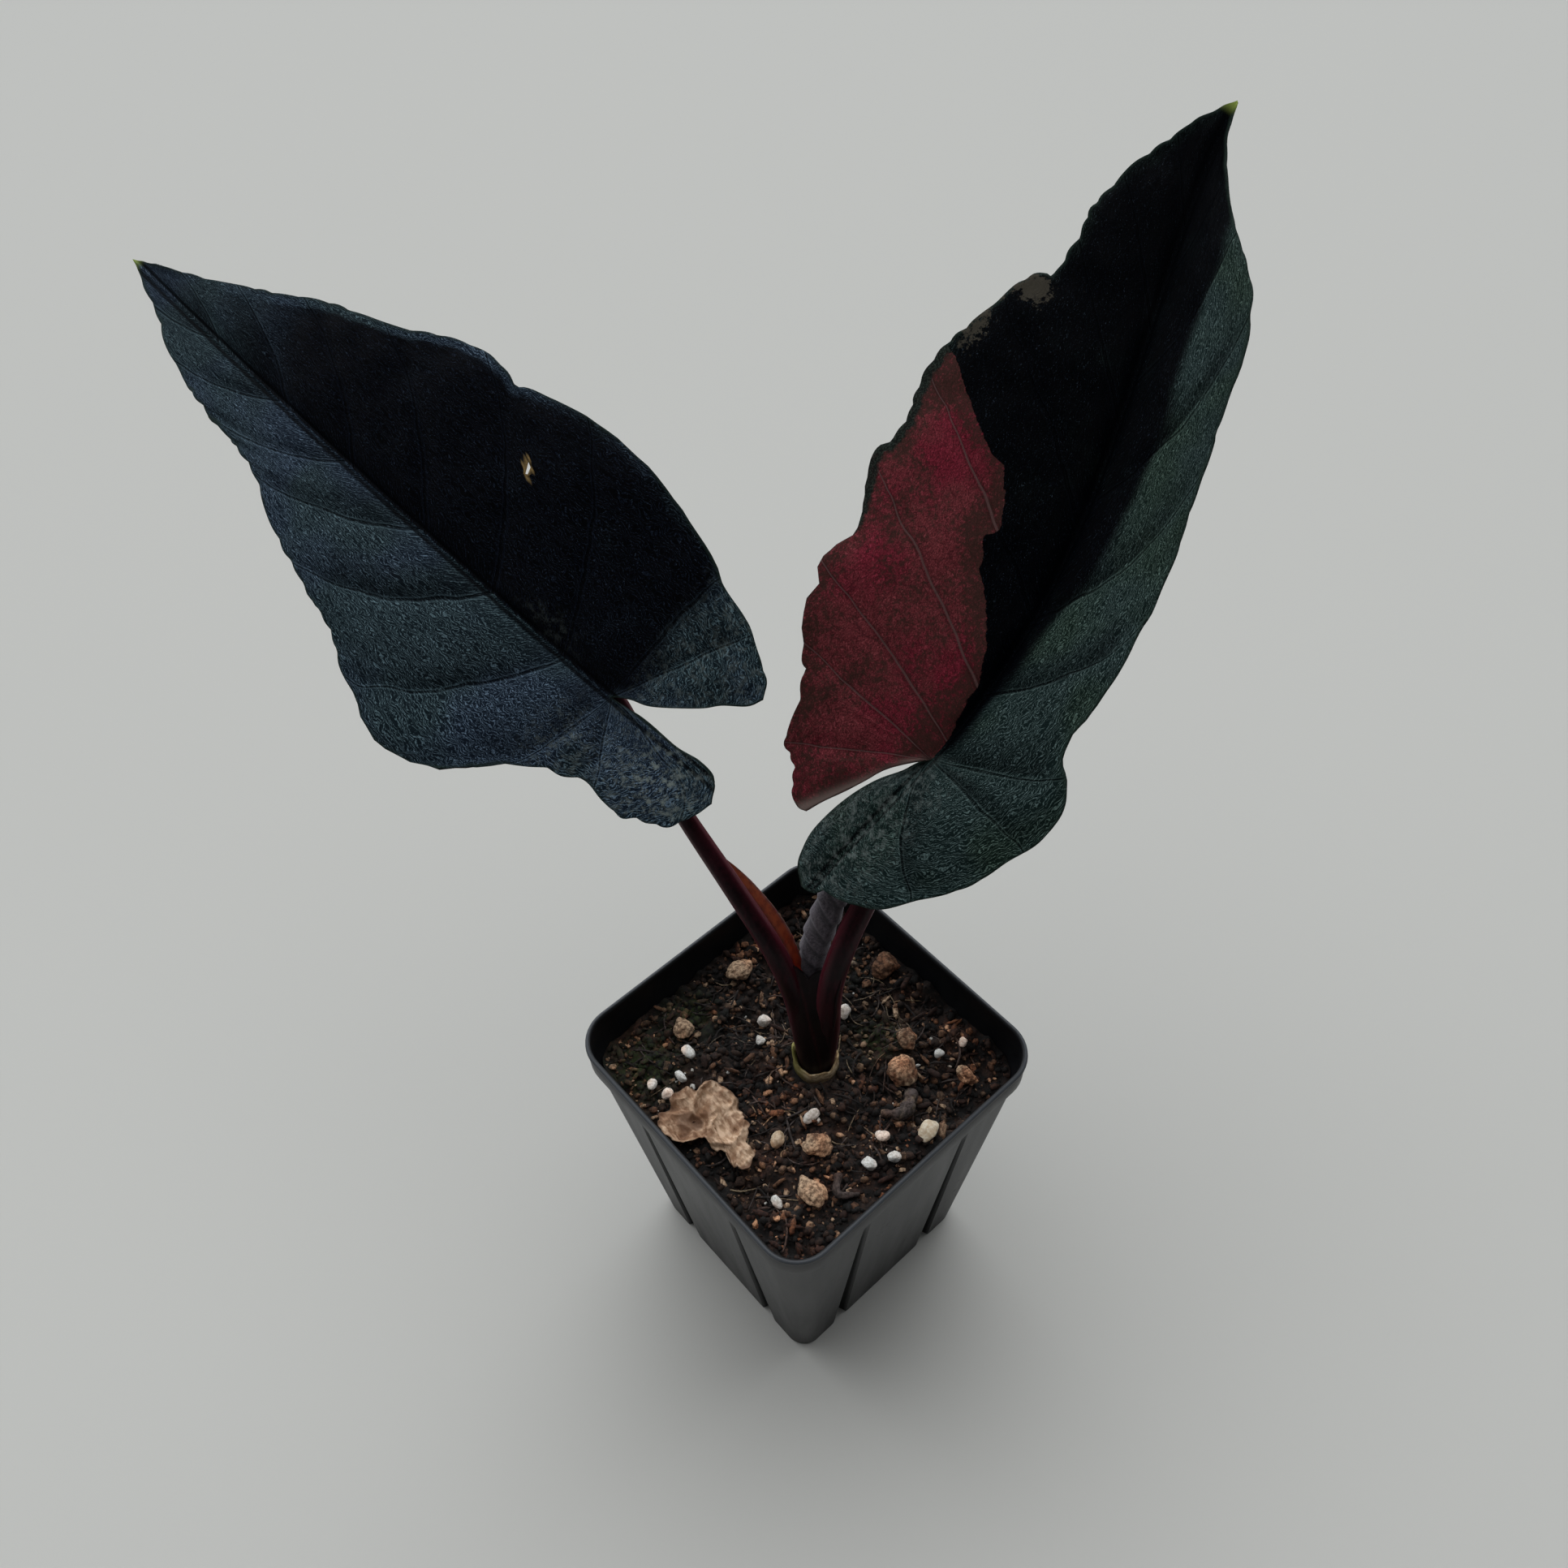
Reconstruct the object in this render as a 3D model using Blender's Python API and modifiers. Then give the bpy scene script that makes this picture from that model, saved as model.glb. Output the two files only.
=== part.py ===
"""Potted alocasia: two arrow-shaped leaves and a furled one, on a corm rooted in a square nursery pot.

Metres, +Z up. The origin is the middle of the pot's flat underside, and the pot's sides run along X and Y.
"""

from math import cos, pi, radians, sin

import bmesh
import bpy
import numpy as np
from mathutils import Vector

MM = 0.001
GAP = 0.3 * MM  # clear space between pieces that touch on the real plant

# Pot
RIM_SIDE = 90 * MM
BASE_SIDE = 67 * MM
POT_HEIGHT = 110 * MM
RIM_DEPTH = 9 * MM
RIM_STEP = 1.5 * MM
RIM_CORNER = 11 * MM
BASE_CORNER = 6 * MM
WALL = 1.2 * MM
GROOVE_PLACE = 18 * MM  # from the middle of a side to the middle of a groove
GROOVE_TOP = 96 * MM
GROOVE_DEPTH = 2.6 * MM
GROOVE_NARROW = 2.0 * MM
GROOVE_WIDE = 3.6 * MM
CORNER_HOLE = 8 * MM
CORNER_HOLE_PLACE = 20 * MM
SLOT_LENGTH = 13 * MM
SLOT_WIDTH = 5 * MM
SLOT_PLACE = 25 * MM

# Potting mix
SOIL_TOP = 99 * MM
SOIL_WAVE = 0.9 * MM

# Corm and roots under the plant's foot: radius and height down the corm, then radius from the foot, turn in
# radians, height and thickness along a root, in millimetres
FOOT = (2.5 * MM, -1.5 * MM)
CORM_PROFILE = [(0, 110), (4.4, 110), (4.4, 97), (6.5, 93), (8.5, 86), (8.2, 78), (5.5, 71), (0, 69)]
LONG_ROOT = [(4, 0, 76, 1.2), (13, 0.15, 66, 1.1), (24, 0.1, 48, 0.9), (20, 0.3, 22, 0.6)]
SHORT_ROOT = [(4, 0, 76, 1.2), (10.5, 0.15, 66, 1.1), (19, 0.1, 50, 0.9), (15, 0.3, 40, 0.6)]
ROOT_TURNS = (20, 80, 140, 200, 260, 320)

# Sheaths and blades
SHEATH_RING_INNER = 5.4 * MM
SHEATH_RING_OUTER = 6.6 * MM
SHEATH_THICKNESS = 0.5 * MM
BLADE_THICKNESS = 0.8 * MM
FOLD_FADE = 35 * MM  # the fold along the midrib eases over this distance each way from the stalk

# A blade lies on its own axes, in millimetres: along the midrib from the stalk to the tip, and out from the
# midrib to either side. "margin" runs from the tip to the end of the lobe, "sinus" from the stalk to that end.
LEFT_BLADE = {
    "stalk_end": (-6, 58, 207),
    "tip": (-27, 214, 258),
    "face": (-0.57, -0.32, 0.76),
    "fold": 14,
    "arch": 6,
    "sag": 0.0022,
    "bow": 0,
    "left": {
        "lobe_fold": 0.5,
        "margin": [
            (165, 0), (151, 4.5), (137, 10.5), (118, 15), (99, 16), (87, 22), (70, 28), (54, 33), (41, 39),
            (30, 41.7), (16, 35), (2, 23), (-9, 18.5), (-19, 20), (-29, 14.5), (-33.5, 4),
        ],
        "sinus": [(0, 0), (-9, -1), (-19, -1), (-30, -1), (-33.5, 4)],
    },
    "right": {
        "lobe_fold": 0.5,
        "margin": [
            (165, 0), (142, 10), (122, 20), (110, 26.5), (90, 33.5), (68, 41.5), (46, 45.5), (24, 47),
            (9.5, 43.5), (-6.5, 36.5), (-19, 30.5), (-27.5, 22.5),
        ],
        "sinus": [(0, 0), (-9, 4.5), (-18, 12.5), (-27.5, 22.5)],
    },
}
RIGHT_BLADE = {
    "stalk_end": (42, 1, 195),
    "tip": (181, 44, 285),
    "face": (-0.55, 0.02, 0.83),
    "fold": 26,
    "arch": 3,
    "sag": 0.0022,
    "bow": -10.5,
    "left": {
        "lobe_fold": 0.6,
        "margin": [
            (171, 0), (160, 5), (144, 13), (126, 18.5), (114.5, 23), (103, 33.5), (89, 40.5), (75, 43.5),
            (61, 46.5), (44, 43), (31, 47), (16, 42.5), (0, 33), (-10, 29.5), (-20, 19.5), (-23, 13),
        ],
        "sinus": [(0, 0), (-6, 5), (-12, 7.5), (-23, 13)],
    },
    "right": {
        "lobe_fold": 0.2,
        "margin": [
            (171, 0), (157, 5), (141, 12), (121, 23), (103, 26), (85, 25.5), (62, 27.5), (32, 29), (15, 27.5),
            (6, 33), (-4, 37.5), (-15, 34), (-25.5, 30), (-36, 19), (-39, 8), (-40, -3.5),
        ],
        "sinus": [(0, 0), (-6, -2), (-14, -8), (-24, -10.5), (-33, -9), (-40, -3.5)],
    },
}

# Paths of the stalks and the furled leaf: x, y, z and radius, in millimetres. A stalk ends under its blade.
LEFT_STALK = [
    (1.0, 0.9, 110.3, 2.2), (0.8, 2.4, 119, 2.7), (0.4, 4.6, 132, 3.0), (-0.6, 10.5, 147, 2.9),
    (-1.8, 22, 161, 2.6), (-3.4, 37, 178, 2.3), (-4.8, 48, 193, 2.1),
]
RIGHT_STALK = [
    (4.3, -3.7, 110.3, 2.2), (4.8, -3.6, 119, 2.8), (6.2, -3.2, 137, 3.1), (12, -2.5, 151.5, 3.0),
    (20, -1.6, 162, 2.8), (28.5, -0.8, 173, 2.5), (35, -0.1, 183, 2.3),
]
FURLED_LEAF = [
    (5.0, 1.6, 110.3, 1.0), (5.4, 3.8, 118, 1.4), (6.6, 6.6, 128, 3.0), (9.8, 7.2, 142, 4.0),
    (15, 6.4, 156, 4.0), (20.5, 6.2, 168, 2.8), (25, 6.4, 177, 1.0),
]

# Things lying on the potting mix: x, y, length, width and height in millimetres, and a turn in degrees.
PERLITE = [
    (0, 17, 4.6, 4.0, 3.6, 10), (-5, 13, 3.6, 2.8, 2.6, 60), (-22, 23, 5.2, 3.6, 3.2, 70),
    (-35, 23, 3.6, 3.4, 3.0, 0), (-34, 18, 4.2, 3.6, 3.2, 40), (-28, 20, 4.8, 2.8, 2.6, 110),
    (35, -25, 3.6, 3.0, 2.8, 30), (28, -23, 3.2, 2.6, 2.4, 0), (-10, -13, 4.8, 4.2, 3.6, 20),
    (0, -30, 4.4, 3.6, 3.2, 50), (-2, -36, 4.6, 4.0, 3.6, 80), (-8, -33, 5.2, 4.4, 4.0, 15),
    (-32, -24, 5.0, 2.8, 2.6, 75), (18, 4, 4.8, 4.4, 3.8, 35),
]
BARK = [
    (17, -20, 9, 6, 4, 20), (24, -14, 7, 5, 3.5, 80), (-14, -21, 8, 6, 4.5, 140), (-18, 31, 7, 5, 3.5, 30),
    (29, -33, 7, 5, 4, 60), (36, 6, 10, 6, 4.5, 130), (5, 33, 8, 6, 4.5, 15), (-24, -28, 9, 6, 4, 110),
]
TWIGS = {
    "grey_twig": [(15, -26, 1.6), (9, -29, 2.2), (4, -25, 1.4)],
    "brown_twig": [(-15, -29, 1.1), (-19, -33, 1.4), (-15, -37, 1.0)],
    "pale_straw": [(31, 12, 0.7), (27, 20, 0.9), (24, 29, 0.6)],
}
SEED = (10, -37, 8.5, 5.0, 3.6, -35)
RING_GRAIN = (-21, -12, 5.6, 5.0, 3.6, 0)
DRIED_LEAF = (-30, 2, 24, 16, 5.5, 75)


# Scene and materials


def clear_scene():
    for old in list(bpy.data.objects):
        bpy.data.objects.remove(old, do_unlink=True)


def new_collection(name):
    collection = bpy.data.collections.new(name)
    bpy.context.scene.collection.children.link(collection)
    return collection


def material(name, colour, roughness, metallic=0.0):
    made = bpy.data.materials.new(name)
    made.use_nodes = True
    shader = made.node_tree.nodes["Principled BSDF"]
    shader.inputs["Base Color"].default_value = (*colour, 1)
    shader.inputs["Roughness"].default_value = roughness
    shader.inputs["Metallic"].default_value = metallic
    return made


def add_object(name, mesh, finish, collection, smooth=True):
    piece = bpy.data.objects.new(name, mesh)
    collection.objects.link(piece)
    mesh.materials.append(finish)
    if smooth:
        mesh.shade_smooth()
    return piece


def cut(piece, cutter):
    """Takes the cutter's shape out of the piece."""
    cutter.hide_render = True
    cutter.display_type = "WIRE"
    boolean = piece.modifiers.new(f"Cut {cutter.name}", "BOOLEAN")
    boolean.operation = "DIFFERENCE"
    boolean.object = cutter


# Shapes


def smooth_step(value):
    value = np.clip(value, 0, 1)
    return value * value * (3 - 2 * value)


def curve_through(points, samples):
    """Catmull-Rom curve through the points, sampled at equal steps of the chord length; a fourth column is a radius."""
    inner = np.asarray(points, float)
    ends = np.vstack([2 * inner[0] - inner[1], inner, 2 * inner[-1] - inner[-2]])
    chords = np.linalg.norm(np.diff(inner[:, :3], axis=0), axis=1)
    knots = np.concatenate([[0], np.cumsum(chords)])
    place = np.linspace(0, knots[-1], samples)
    span = np.clip(np.searchsorted(knots, place, side="right") - 1, 0, len(chords) - 1)
    t = ((place - knots[span]) / chords[span])[:, None]
    a, b, c, d = (ends[span + k] for k in range(4))
    return 0.5 * (2 * b + (c - a) * t + (2 * a - 5 * b + 4 * c - d) * t**2 + (3 * b - a - 3 * c + d) * t**3)


def grid_faces(rows, columns, first=0, wrap=False, flip=False):
    """Quads of a grid of points stored row by row; wrap joins the last column to the first."""
    faces = []
    for row in range(rows - 1):
        for column in range(columns if wrap else columns - 1):
            beside = (column + 1) % columns
            corners = (
                first + row * columns + column,
                first + row * columns + beside,
                first + (row + 1) * columns + beside,
                first + (row + 1) * columns + column,
            )
            faces.append(corners[::-1] if flip else corners)
    return faces


def mesh_of(name, points, faces, merge=1e-6):
    """Mesh with coincident points made one, which also closes the points where a grid comes to a tip."""
    mesh = bpy.data.meshes.new(name)
    mesh.from_pydata([tuple(p) for p in points], [], faces)
    shape = bmesh.new()
    shape.from_mesh(mesh)
    bmesh.ops.remove_doubles(shape, verts=shape.verts, dist=merge)
    shape.to_mesh(mesh)
    shape.free()
    return mesh


def tube(name, path, finish, collection, samples, sides=5):
    """Round bar along a smooth path of x, y, z, radius rows in millimetres, closed by flat caps."""
    points = curve_through(path, samples)
    curve = bpy.data.curves.new(name, "CURVE")
    curve.dimensions = "3D"
    curve.bevel_depth = MM
    curve.bevel_resolution = (sides - 2) // 2
    curve.use_fill_caps = True
    spline = curve.splines.new("POLY")
    spline.points.add(samples - 1)
    for point, (x, y, z, radius) in zip(spline.points, points):
        point.co = (x * MM, y * MM, z * MM, 1)
        point.radius = radius
    piece = bpy.data.objects.new(name, curve)
    collection.objects.link(piece)
    curve.materials.append(finish)
    return piece


# Pot


def pot_side(height):
    """Full width of the body's outside at a height, under the rim."""
    top = RIM_SIDE - 2 * RIM_STEP
    return BASE_SIDE + (top - BASE_SIDE) * height / (POT_HEIGHT - RIM_DEPTH)


def pot_corner(height):
    return BASE_CORNER + (RIM_CORNER - BASE_CORNER) * height / POT_HEIGHT


def square_ring(side, corner, height, inset=0.0):
    """One turn round a square with rounded corners, dented by two grooves a side, anticlockwise from above."""
    below_top = max(0.0, 1 - height / GROOVE_TOP)
    depth = GROOVE_DEPTH * below_top
    spread = GROOVE_NARROW + (GROOVE_WIDE - GROOVE_NARROW) * below_top
    spread_in = spread + inset
    half = side / 2 - inset
    radius = max(corner - inset, 1.5 * MM)
    flat = half - radius
    stops = [-GROOVE_PLACE - spread_in, -GROOVE_PLACE - spread_in / 2, -GROOVE_PLACE + spread_in / 2,
             -GROOVE_PLACE + spread_in]
    stops = stops + [0] + [-stop for stop in stops[::-1]]
    dents = [0, depth, depth, 0, 0, 0, depth, depth, 0]
    ring = []
    for quarter in range(4):
        turn = quarter * pi / 2
        for stop, dent in zip(stops, dents):
            ring.append((half - dent, stop, turn))
        for step in range(6):
            angle = (step / 5) * pi / 2
            ring.append((flat + radius * cos(angle), flat + radius * sin(angle), turn))
    return [(x * cos(turn) - y * sin(turn), x * sin(turn) + y * cos(turn), height) for x, y, turn in ring]


def body_ring(height, inset=0.0):
    return square_ring(pot_side(height), pot_corner(height), height, inset)


def make_pot(collection, cutters):
    rim_bottom = POT_HEIGHT - RIM_DEPTH
    rings = [
        square_ring(RIM_SIDE, RIM_CORNER, POT_HEIGHT),
        square_ring(RIM_SIDE - 0.4 * MM, RIM_CORNER, rim_bottom + 0.8 * MM),
        square_ring(RIM_SIDE - 2 * RIM_STEP, RIM_CORNER, rim_bottom),
    ]
    rings += [body_ring(height) for height in np.linspace(GROOVE_TOP, 2 * MM, 7)]
    rings.append(body_ring(0.6 * MM))
    rings.append(body_ring(0, inset=0.8 * MM))
    floor = np.array(rings[-1])
    rings += [floor * (scale, scale, 0) for scale in (0.6, 0.2)]
    points = [point for ring in rings for point in ring]
    count = len(rings[0])
    faces = grid_faces(len(rings), count, wrap=True, flip=True)
    faces.append([len(points) - count + k for k in range(count)][::-1])
    mesh = mesh_of("pot", points, faces)
    pot = add_object("pot", mesh, material("Black pot plastic", (0.035, 0.037, 0.04), 0.45), collection)
    shell = pot.modifiers.new("Wall", "SOLIDIFY")
    shell.thickness = WALL
    shell.offset = -1
    for x in (-1, 1):
        for y in (-1, 1):
            cut(pot, floor_cutter(cutters, x * CORNER_HOLE_PLACE, y * CORNER_HOLE_PLACE, CORNER_HOLE, CORNER_HOLE))
    for turn in range(4):
        x, y = SLOT_PLACE * cos(turn * pi / 2), SLOT_PLACE * sin(turn * pi / 2)
        along_x = turn % 2
        cut(pot, floor_cutter(cutters, x, y, SLOT_LENGTH if along_x else SLOT_WIDTH,
                              SLOT_WIDTH if along_x else SLOT_LENGTH))
    return pot


def floor_cutter(cutters, x, y, length, width):
    """Upright round or oval bar through the pot's floor."""
    mesh = bpy.data.meshes.new("Drain hole")
    shape = bmesh.new()
    bmesh.ops.create_cone(shape, cap_ends=True, segments=16, radius1=0.5, radius2=0.5, depth=8 * MM)
    bmesh.ops.scale(shape, vec=(length, width, 1), verts=shape.verts)
    bmesh.ops.translate(shape, vec=(x, y, 0), verts=shape.verts)
    shape.to_mesh(mesh)
    shape.free()
    cutter = bpy.data.objects.new("Drain hole", mesh)
    cutters.objects.link(cutter)
    return cutter


# Potting mix


def soil_height(x, y):
    """Level of the mix: low waves, flat round the plant's foot."""
    x, y = np.asarray(x) / MM, np.asarray(y) / MM
    waves = np.sin(x / 6.5 + 1) * np.cos(y / 5.5) + 0.6 * np.sin((x + 1.3 * y) / 4.1)
    away = np.hypot(x - FOOT[0] / MM, y - FOOT[1] / MM)
    return SOIL_TOP + SOIL_WAVE * waves * smooth_step((away - 9) / 8)


def make_potting_mix(collection):
    inset = WALL + GAP
    rings = [np.array(body_ring(height, inset)) for height in np.linspace(WALL + GAP, 94 * MM, 6)]
    top = np.array(body_ring(SOIL_TOP - 1 * MM, inset))
    for scale in np.concatenate([[1], np.linspace(0.97, 0.06, 13)]):
        ring = top * (scale, scale, 0)
        ring[:, 2] = soil_height(ring[:, 0], ring[:, 1])
        rings.append(ring)
    count = len(top)
    points = np.concatenate(rings)
    faces = grid_faces(len(rings), count, wrap=True)
    faces.append(list(range(count))[::-1])
    faces.append([len(points) - count + k for k in range(count)])
    mesh = mesh_of("potting_mix", points, faces)
    return add_object("potting_mix", mesh, material("Bark and peat mix", (0.045, 0.028, 0.02), 0.95), collection)


# Corm and roots


def corm_shape(name, grow, collection, finish):
    """Corm with its neck, and roots spreading under it; grow thickens all of it, for the pocket in the mix."""
    top, bottom = CORM_PROFILE[0][1], CORM_PROFILE[-1][1]
    mesh = bpy.data.meshes.new(name)
    turned = bpy.data.objects.new(name, mesh)
    collection.objects.link(turned)
    shape = bmesh.new()
    line = []
    for radius, height in CORM_PROFILE:
        lift = grow * ((height == top) - (height == bottom))
        line.append(shape.verts.new((radius * MM + (grow if radius else 0), 0, height * MM + lift)))
    for upper, lower in zip(line, line[1:]):
        shape.edges.new((upper, lower))
    shape.to_mesh(mesh)
    shape.free()
    mesh.materials.append(finish)
    screw = turned.modifiers.new("Turn", "SCREW")
    screw.steps = screw.render_steps = 20
    screw.use_merge_vertices = True
    screw.merge_threshold = 1e-5
    turned.location = (FOOT[0], FOOT[1], 0)
    bpy.context.view_layer.update()
    body = solid_from(turned, name, collection)
    for number, turn in enumerate(ROOT_TURNS):
        path = []
        for reach, twist, height, radius in LONG_ROOT if number % 2 else SHORT_ROOT:
            angle = radians(turn) + twist
            path.append((FOOT[0] / MM + reach * cos(angle), FOOT[1] / MM + reach * sin(angle), height,
                         radius + grow / MM))
        root = tube(f"{name} root", path, finish, collection, samples=9, sides=6)
        bpy.context.view_layer.update()
        join(body, solid_from(root, root.name, collection))
    return body


def solid_from(piece, name, collection):
    """Applies a piece's modifiers and its place, and returns it as a plain mesh object with welded seams."""
    evaluated = piece.evaluated_get(bpy.context.evaluated_depsgraph_get())
    mesh = bpy.data.meshes.new_from_object(evaluated)
    mesh.transform(piece.matrix_world)
    shape = bmesh.new()
    shape.from_mesh(mesh)
    bmesh.ops.remove_doubles(shape, verts=shape.verts, dist=1e-6)
    shape.to_mesh(mesh)
    shape.free()
    bpy.data.objects.remove(piece, do_unlink=True)
    made = bpy.data.objects.new(name, mesh)
    collection.objects.link(made)
    return made


def join(body, added):
    """Unites two solids into the first and removes the second."""
    boolean = body.modifiers.new("Join", "BOOLEAN")
    boolean.operation = "UNION"
    boolean.object = added
    bpy.context.view_layer.update()
    evaluated = body.evaluated_get(bpy.context.evaluated_depsgraph_get())
    mesh = bpy.data.meshes.new_from_object(evaluated)
    body.modifiers.remove(boolean)
    body.data = mesh
    bpy.data.objects.remove(added, do_unlink=True)


# Leaves


def blade_frame(blade):
    """The stalk's end, the midrib's direction, the direction to the left half and the upper face's direction."""
    start = np.array(blade["stalk_end"], float)
    along = np.array(blade["tip"], float) - start
    length = np.linalg.norm(along)
    along /= length
    face = np.array(blade["face"], float)
    face -= along * (face @ along)
    face /= np.linalg.norm(face)
    return start, along, np.cross(face, along), face, length


def blade_points(blade, side, along, out):
    """Places points of one half, given along the midrib and out from it, on the folded and arched blade."""
    start, forward, leftward, upward, length = blade_frame(blade)
    part = along / length
    hand = 1 if side == "left" else -1
    midrib = 6.75 * blade["bow"] * part * np.where(part > 0, (1 - part) ** 2, 1)
    ease = smooth_step((along + FOLD_FADE / MM) / (2 * FOLD_FADE / MM))
    kept = blade[side]["lobe_fold"]
    fold = np.tan(radians(blade["fold"])) * (kept + (1 - kept) * ease)
    lift = fold * out - blade["sag"] * out * np.abs(out) + 4 * blade["arch"] * part * (1 - part)
    across = midrib + hand * out
    return start + along[..., None] * forward + across[..., None] * leftward + lift[..., None] * upward


def half_grid(blade, side, front_rows, lobe_rows, columns):
    """Ribs from the midrib to the margin, and behind the stalk from the sinus to the margin of the lobe."""
    length = blade_frame(blade)[4]
    junction = 0.76  # part of the margin that lies ahead of the stalk
    front = np.linspace(0, junction, front_rows)
    lobe = np.linspace(junction, 1, lobe_rows)[1:]
    margin_places = np.concatenate([front, lobe])
    fine = curve_through(blade[side]["margin"], 400)
    margin = np.stack([np.interp(margin_places, np.linspace(0, 1, 400), fine[:, k]) for k in range(2)], 1)
    margin[0] = (length, 0)
    midrib = np.stack([length * (1 - front / junction) ** 1.45, 0 * front], 1)
    sinus = curve_through(blade[side]["sinus"], lobe_rows)[1:]
    spine = np.concatenate([midrib, sinus])
    margin[-1] = spine[-1]
    reach = np.linspace(0, 1, columns)[None, :, None]
    return spine[:, None] + (margin - spine)[:, None] * reach


def make_blade(name, blade, finish, collection):
    points, faces = [], []
    for side in ("left", "right"):
        grid = half_grid(blade, side, front_rows=17, lobe_rows=7, columns=6)
        rows, columns = grid.shape[:2]
        faces += grid_faces(rows, columns, first=len(points), flip=side == "right")
        points += list(blade_points(blade, side, grid[..., 0], grid[..., 1]).reshape(-1, 3) * MM)
    mesh = mesh_of(name, points, faces, merge=1e-5)
    piece = add_object(name, mesh, finish, collection)
    leaf = piece.modifiers.new("Leaf", "SOLIDIFY")
    leaf.thickness = BLADE_THICKNESS
    leaf.offset = -1
    return piece


def make_stalk(name, path, blade, finish, collection):
    """The stalk up to the blade, running on under it as the midrib, thinner towards the tip."""
    face, length = blade_frame(blade)[3:]
    rows = list(path)
    for place, radius in ((0, 1.9), (14, 1.5), (34, 1.25), (60, 1.0), (90, 0.8), (120, 0.6), (length - 14, 0.4)):
        middle = blade_points(blade, "left", np.array([float(place)]), np.array([0.0]))[0]
        under = BLADE_THICKNESS / MM + GAP / MM + radius + 0.25
        rows.append((*(middle - face * under), radius))
    return tube(name, rows, finish, collection, samples=44, sides=8)


def make_sheath(name, path, start, end, toward, width, finish, collection):
    """Thin wing standing off a stalk's side, widest a third of the way up and curved towards the furled leaf."""
    line = curve_through(path, 60)
    line = line[(line[:, 2] >= start) & (line[:, 2] <= end)][::3]
    direction = np.array([*toward, 0.0])
    direction /= np.linalg.norm(direction)
    points = []
    count, columns = len(line), 5
    for index, (x, y, z, radius) in enumerate(line):
        up = index / (count - 1)
        reach = width * (sin(pi * min(1, up * 0.9 + 0.08)) ** 0.7)
        for column in range(columns):
            out = radius + 0.6 + reach * column / (columns - 1)
            curl = 0.06 * (reach * column / (columns - 1)) ** 2
            points.append(((x + direction[0] * out - direction[1] * curl) * MM,
                           (y + direction[1] * out + direction[0] * curl) * MM, z * MM))
    mesh = mesh_of(name, points, grid_faces(count, columns))
    piece = add_object(name, mesh, finish, collection)
    wall = piece.modifiers.new("Membrane", "SOLIDIFY")
    wall.thickness = SHEATH_THICKNESS
    wall.offset = 0
    return piece


def make_old_sheath(finish, collection):
    """Cut ring of an old sheath: a short upright wall round the foot, taller on one side."""
    steps = 28
    tall_side = radians(-40)
    loops = []
    for radius, top in ((SHEATH_RING_OUTER, False), (SHEATH_RING_OUTER, True), (SHEATH_RING_INNER, True),
                        (SHEATH_RING_INNER, False)):
        loop = []
        for step in range(steps):
            angle = 2 * pi * step / steps
            height = 4.5 + 8.5 * max(0, cos((angle - tall_side) * 0.5)) ** 6 if top else 0
            loop.append((FOOT[0] + radius * cos(angle), FOOT[1] + radius * sin(angle),
                         SOIL_TOP + GAP + height * MM))
        loops.append(loop)
    points = [point for loop in loops for point in loop]
    faces = grid_faces(4, steps, wrap=True)
    for step in range(steps):
        beside = (step + 1) % steps
        faces.append((3 * steps + step, 3 * steps + beside, beside, step))
    mesh = mesh_of("old_sheath", points, faces)
    return add_object("old_sheath", mesh, finish, collection)


# Things on the potting mix


def make_lump(name, place, finish, collection, roughness, seed, facets=2):
    """Uneven pebble: a ball stretched to size, pushed in and out by smooth waves, lying on the mix."""
    x, y, length, width, height, turn = place
    mesh = bpy.data.meshes.new(name)
    shape = bmesh.new()
    bmesh.ops.create_icosphere(shape, subdivisions=facets, radius=0.5)
    rng = np.random.default_rng(seed)
    pulls = rng.normal(size=(5, 3)) * 4
    phases = rng.uniform(0, 2 * pi, 5)
    angle = radians(turn)
    for vert in shape.verts:
        waves = sum(sin(Vector(pull).dot(vert.co) + phase) for pull, phase in zip(pulls, phases))
        swell = 1 + roughness * waves / 5
        a, b = vert.co.x * length * swell, vert.co.y * width * swell
        vert.co = (a * cos(angle) - b * sin(angle), a * sin(angle) + b * cos(angle), vert.co.z * height * swell)
    lowest = min(vert.co.z for vert in shape.verts)
    reach = max(length, width) / 2
    around = np.linspace(0, 2 * pi, 12)
    under = max(
        float(np.max(soil_height((x + r * np.cos(around)) * MM, (y + r * np.sin(around)) * MM)))
        for r in (0, reach * 0.5, reach)
    )
    for vert in shape.verts:
        vert.co = ((x + vert.co.x) * MM, (y + vert.co.y) * MM, under + GAP + (vert.co.z - lowest) * MM)
    shape.to_mesh(mesh)
    shape.free()
    return add_object(name, mesh, finish, collection)


def make_twig(name, route, finish, collection):
    """Short bent stick lying on the mix."""
    highest = max(float(soil_height(x * MM, y * MM)) for x, y, radius in curve_through(route, 12))
    path = [(x, y, highest / MM + radius + 0.5, radius) for x, y, radius in route]
    return tube(name, path, finish, collection, samples=9, sides=6)


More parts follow.
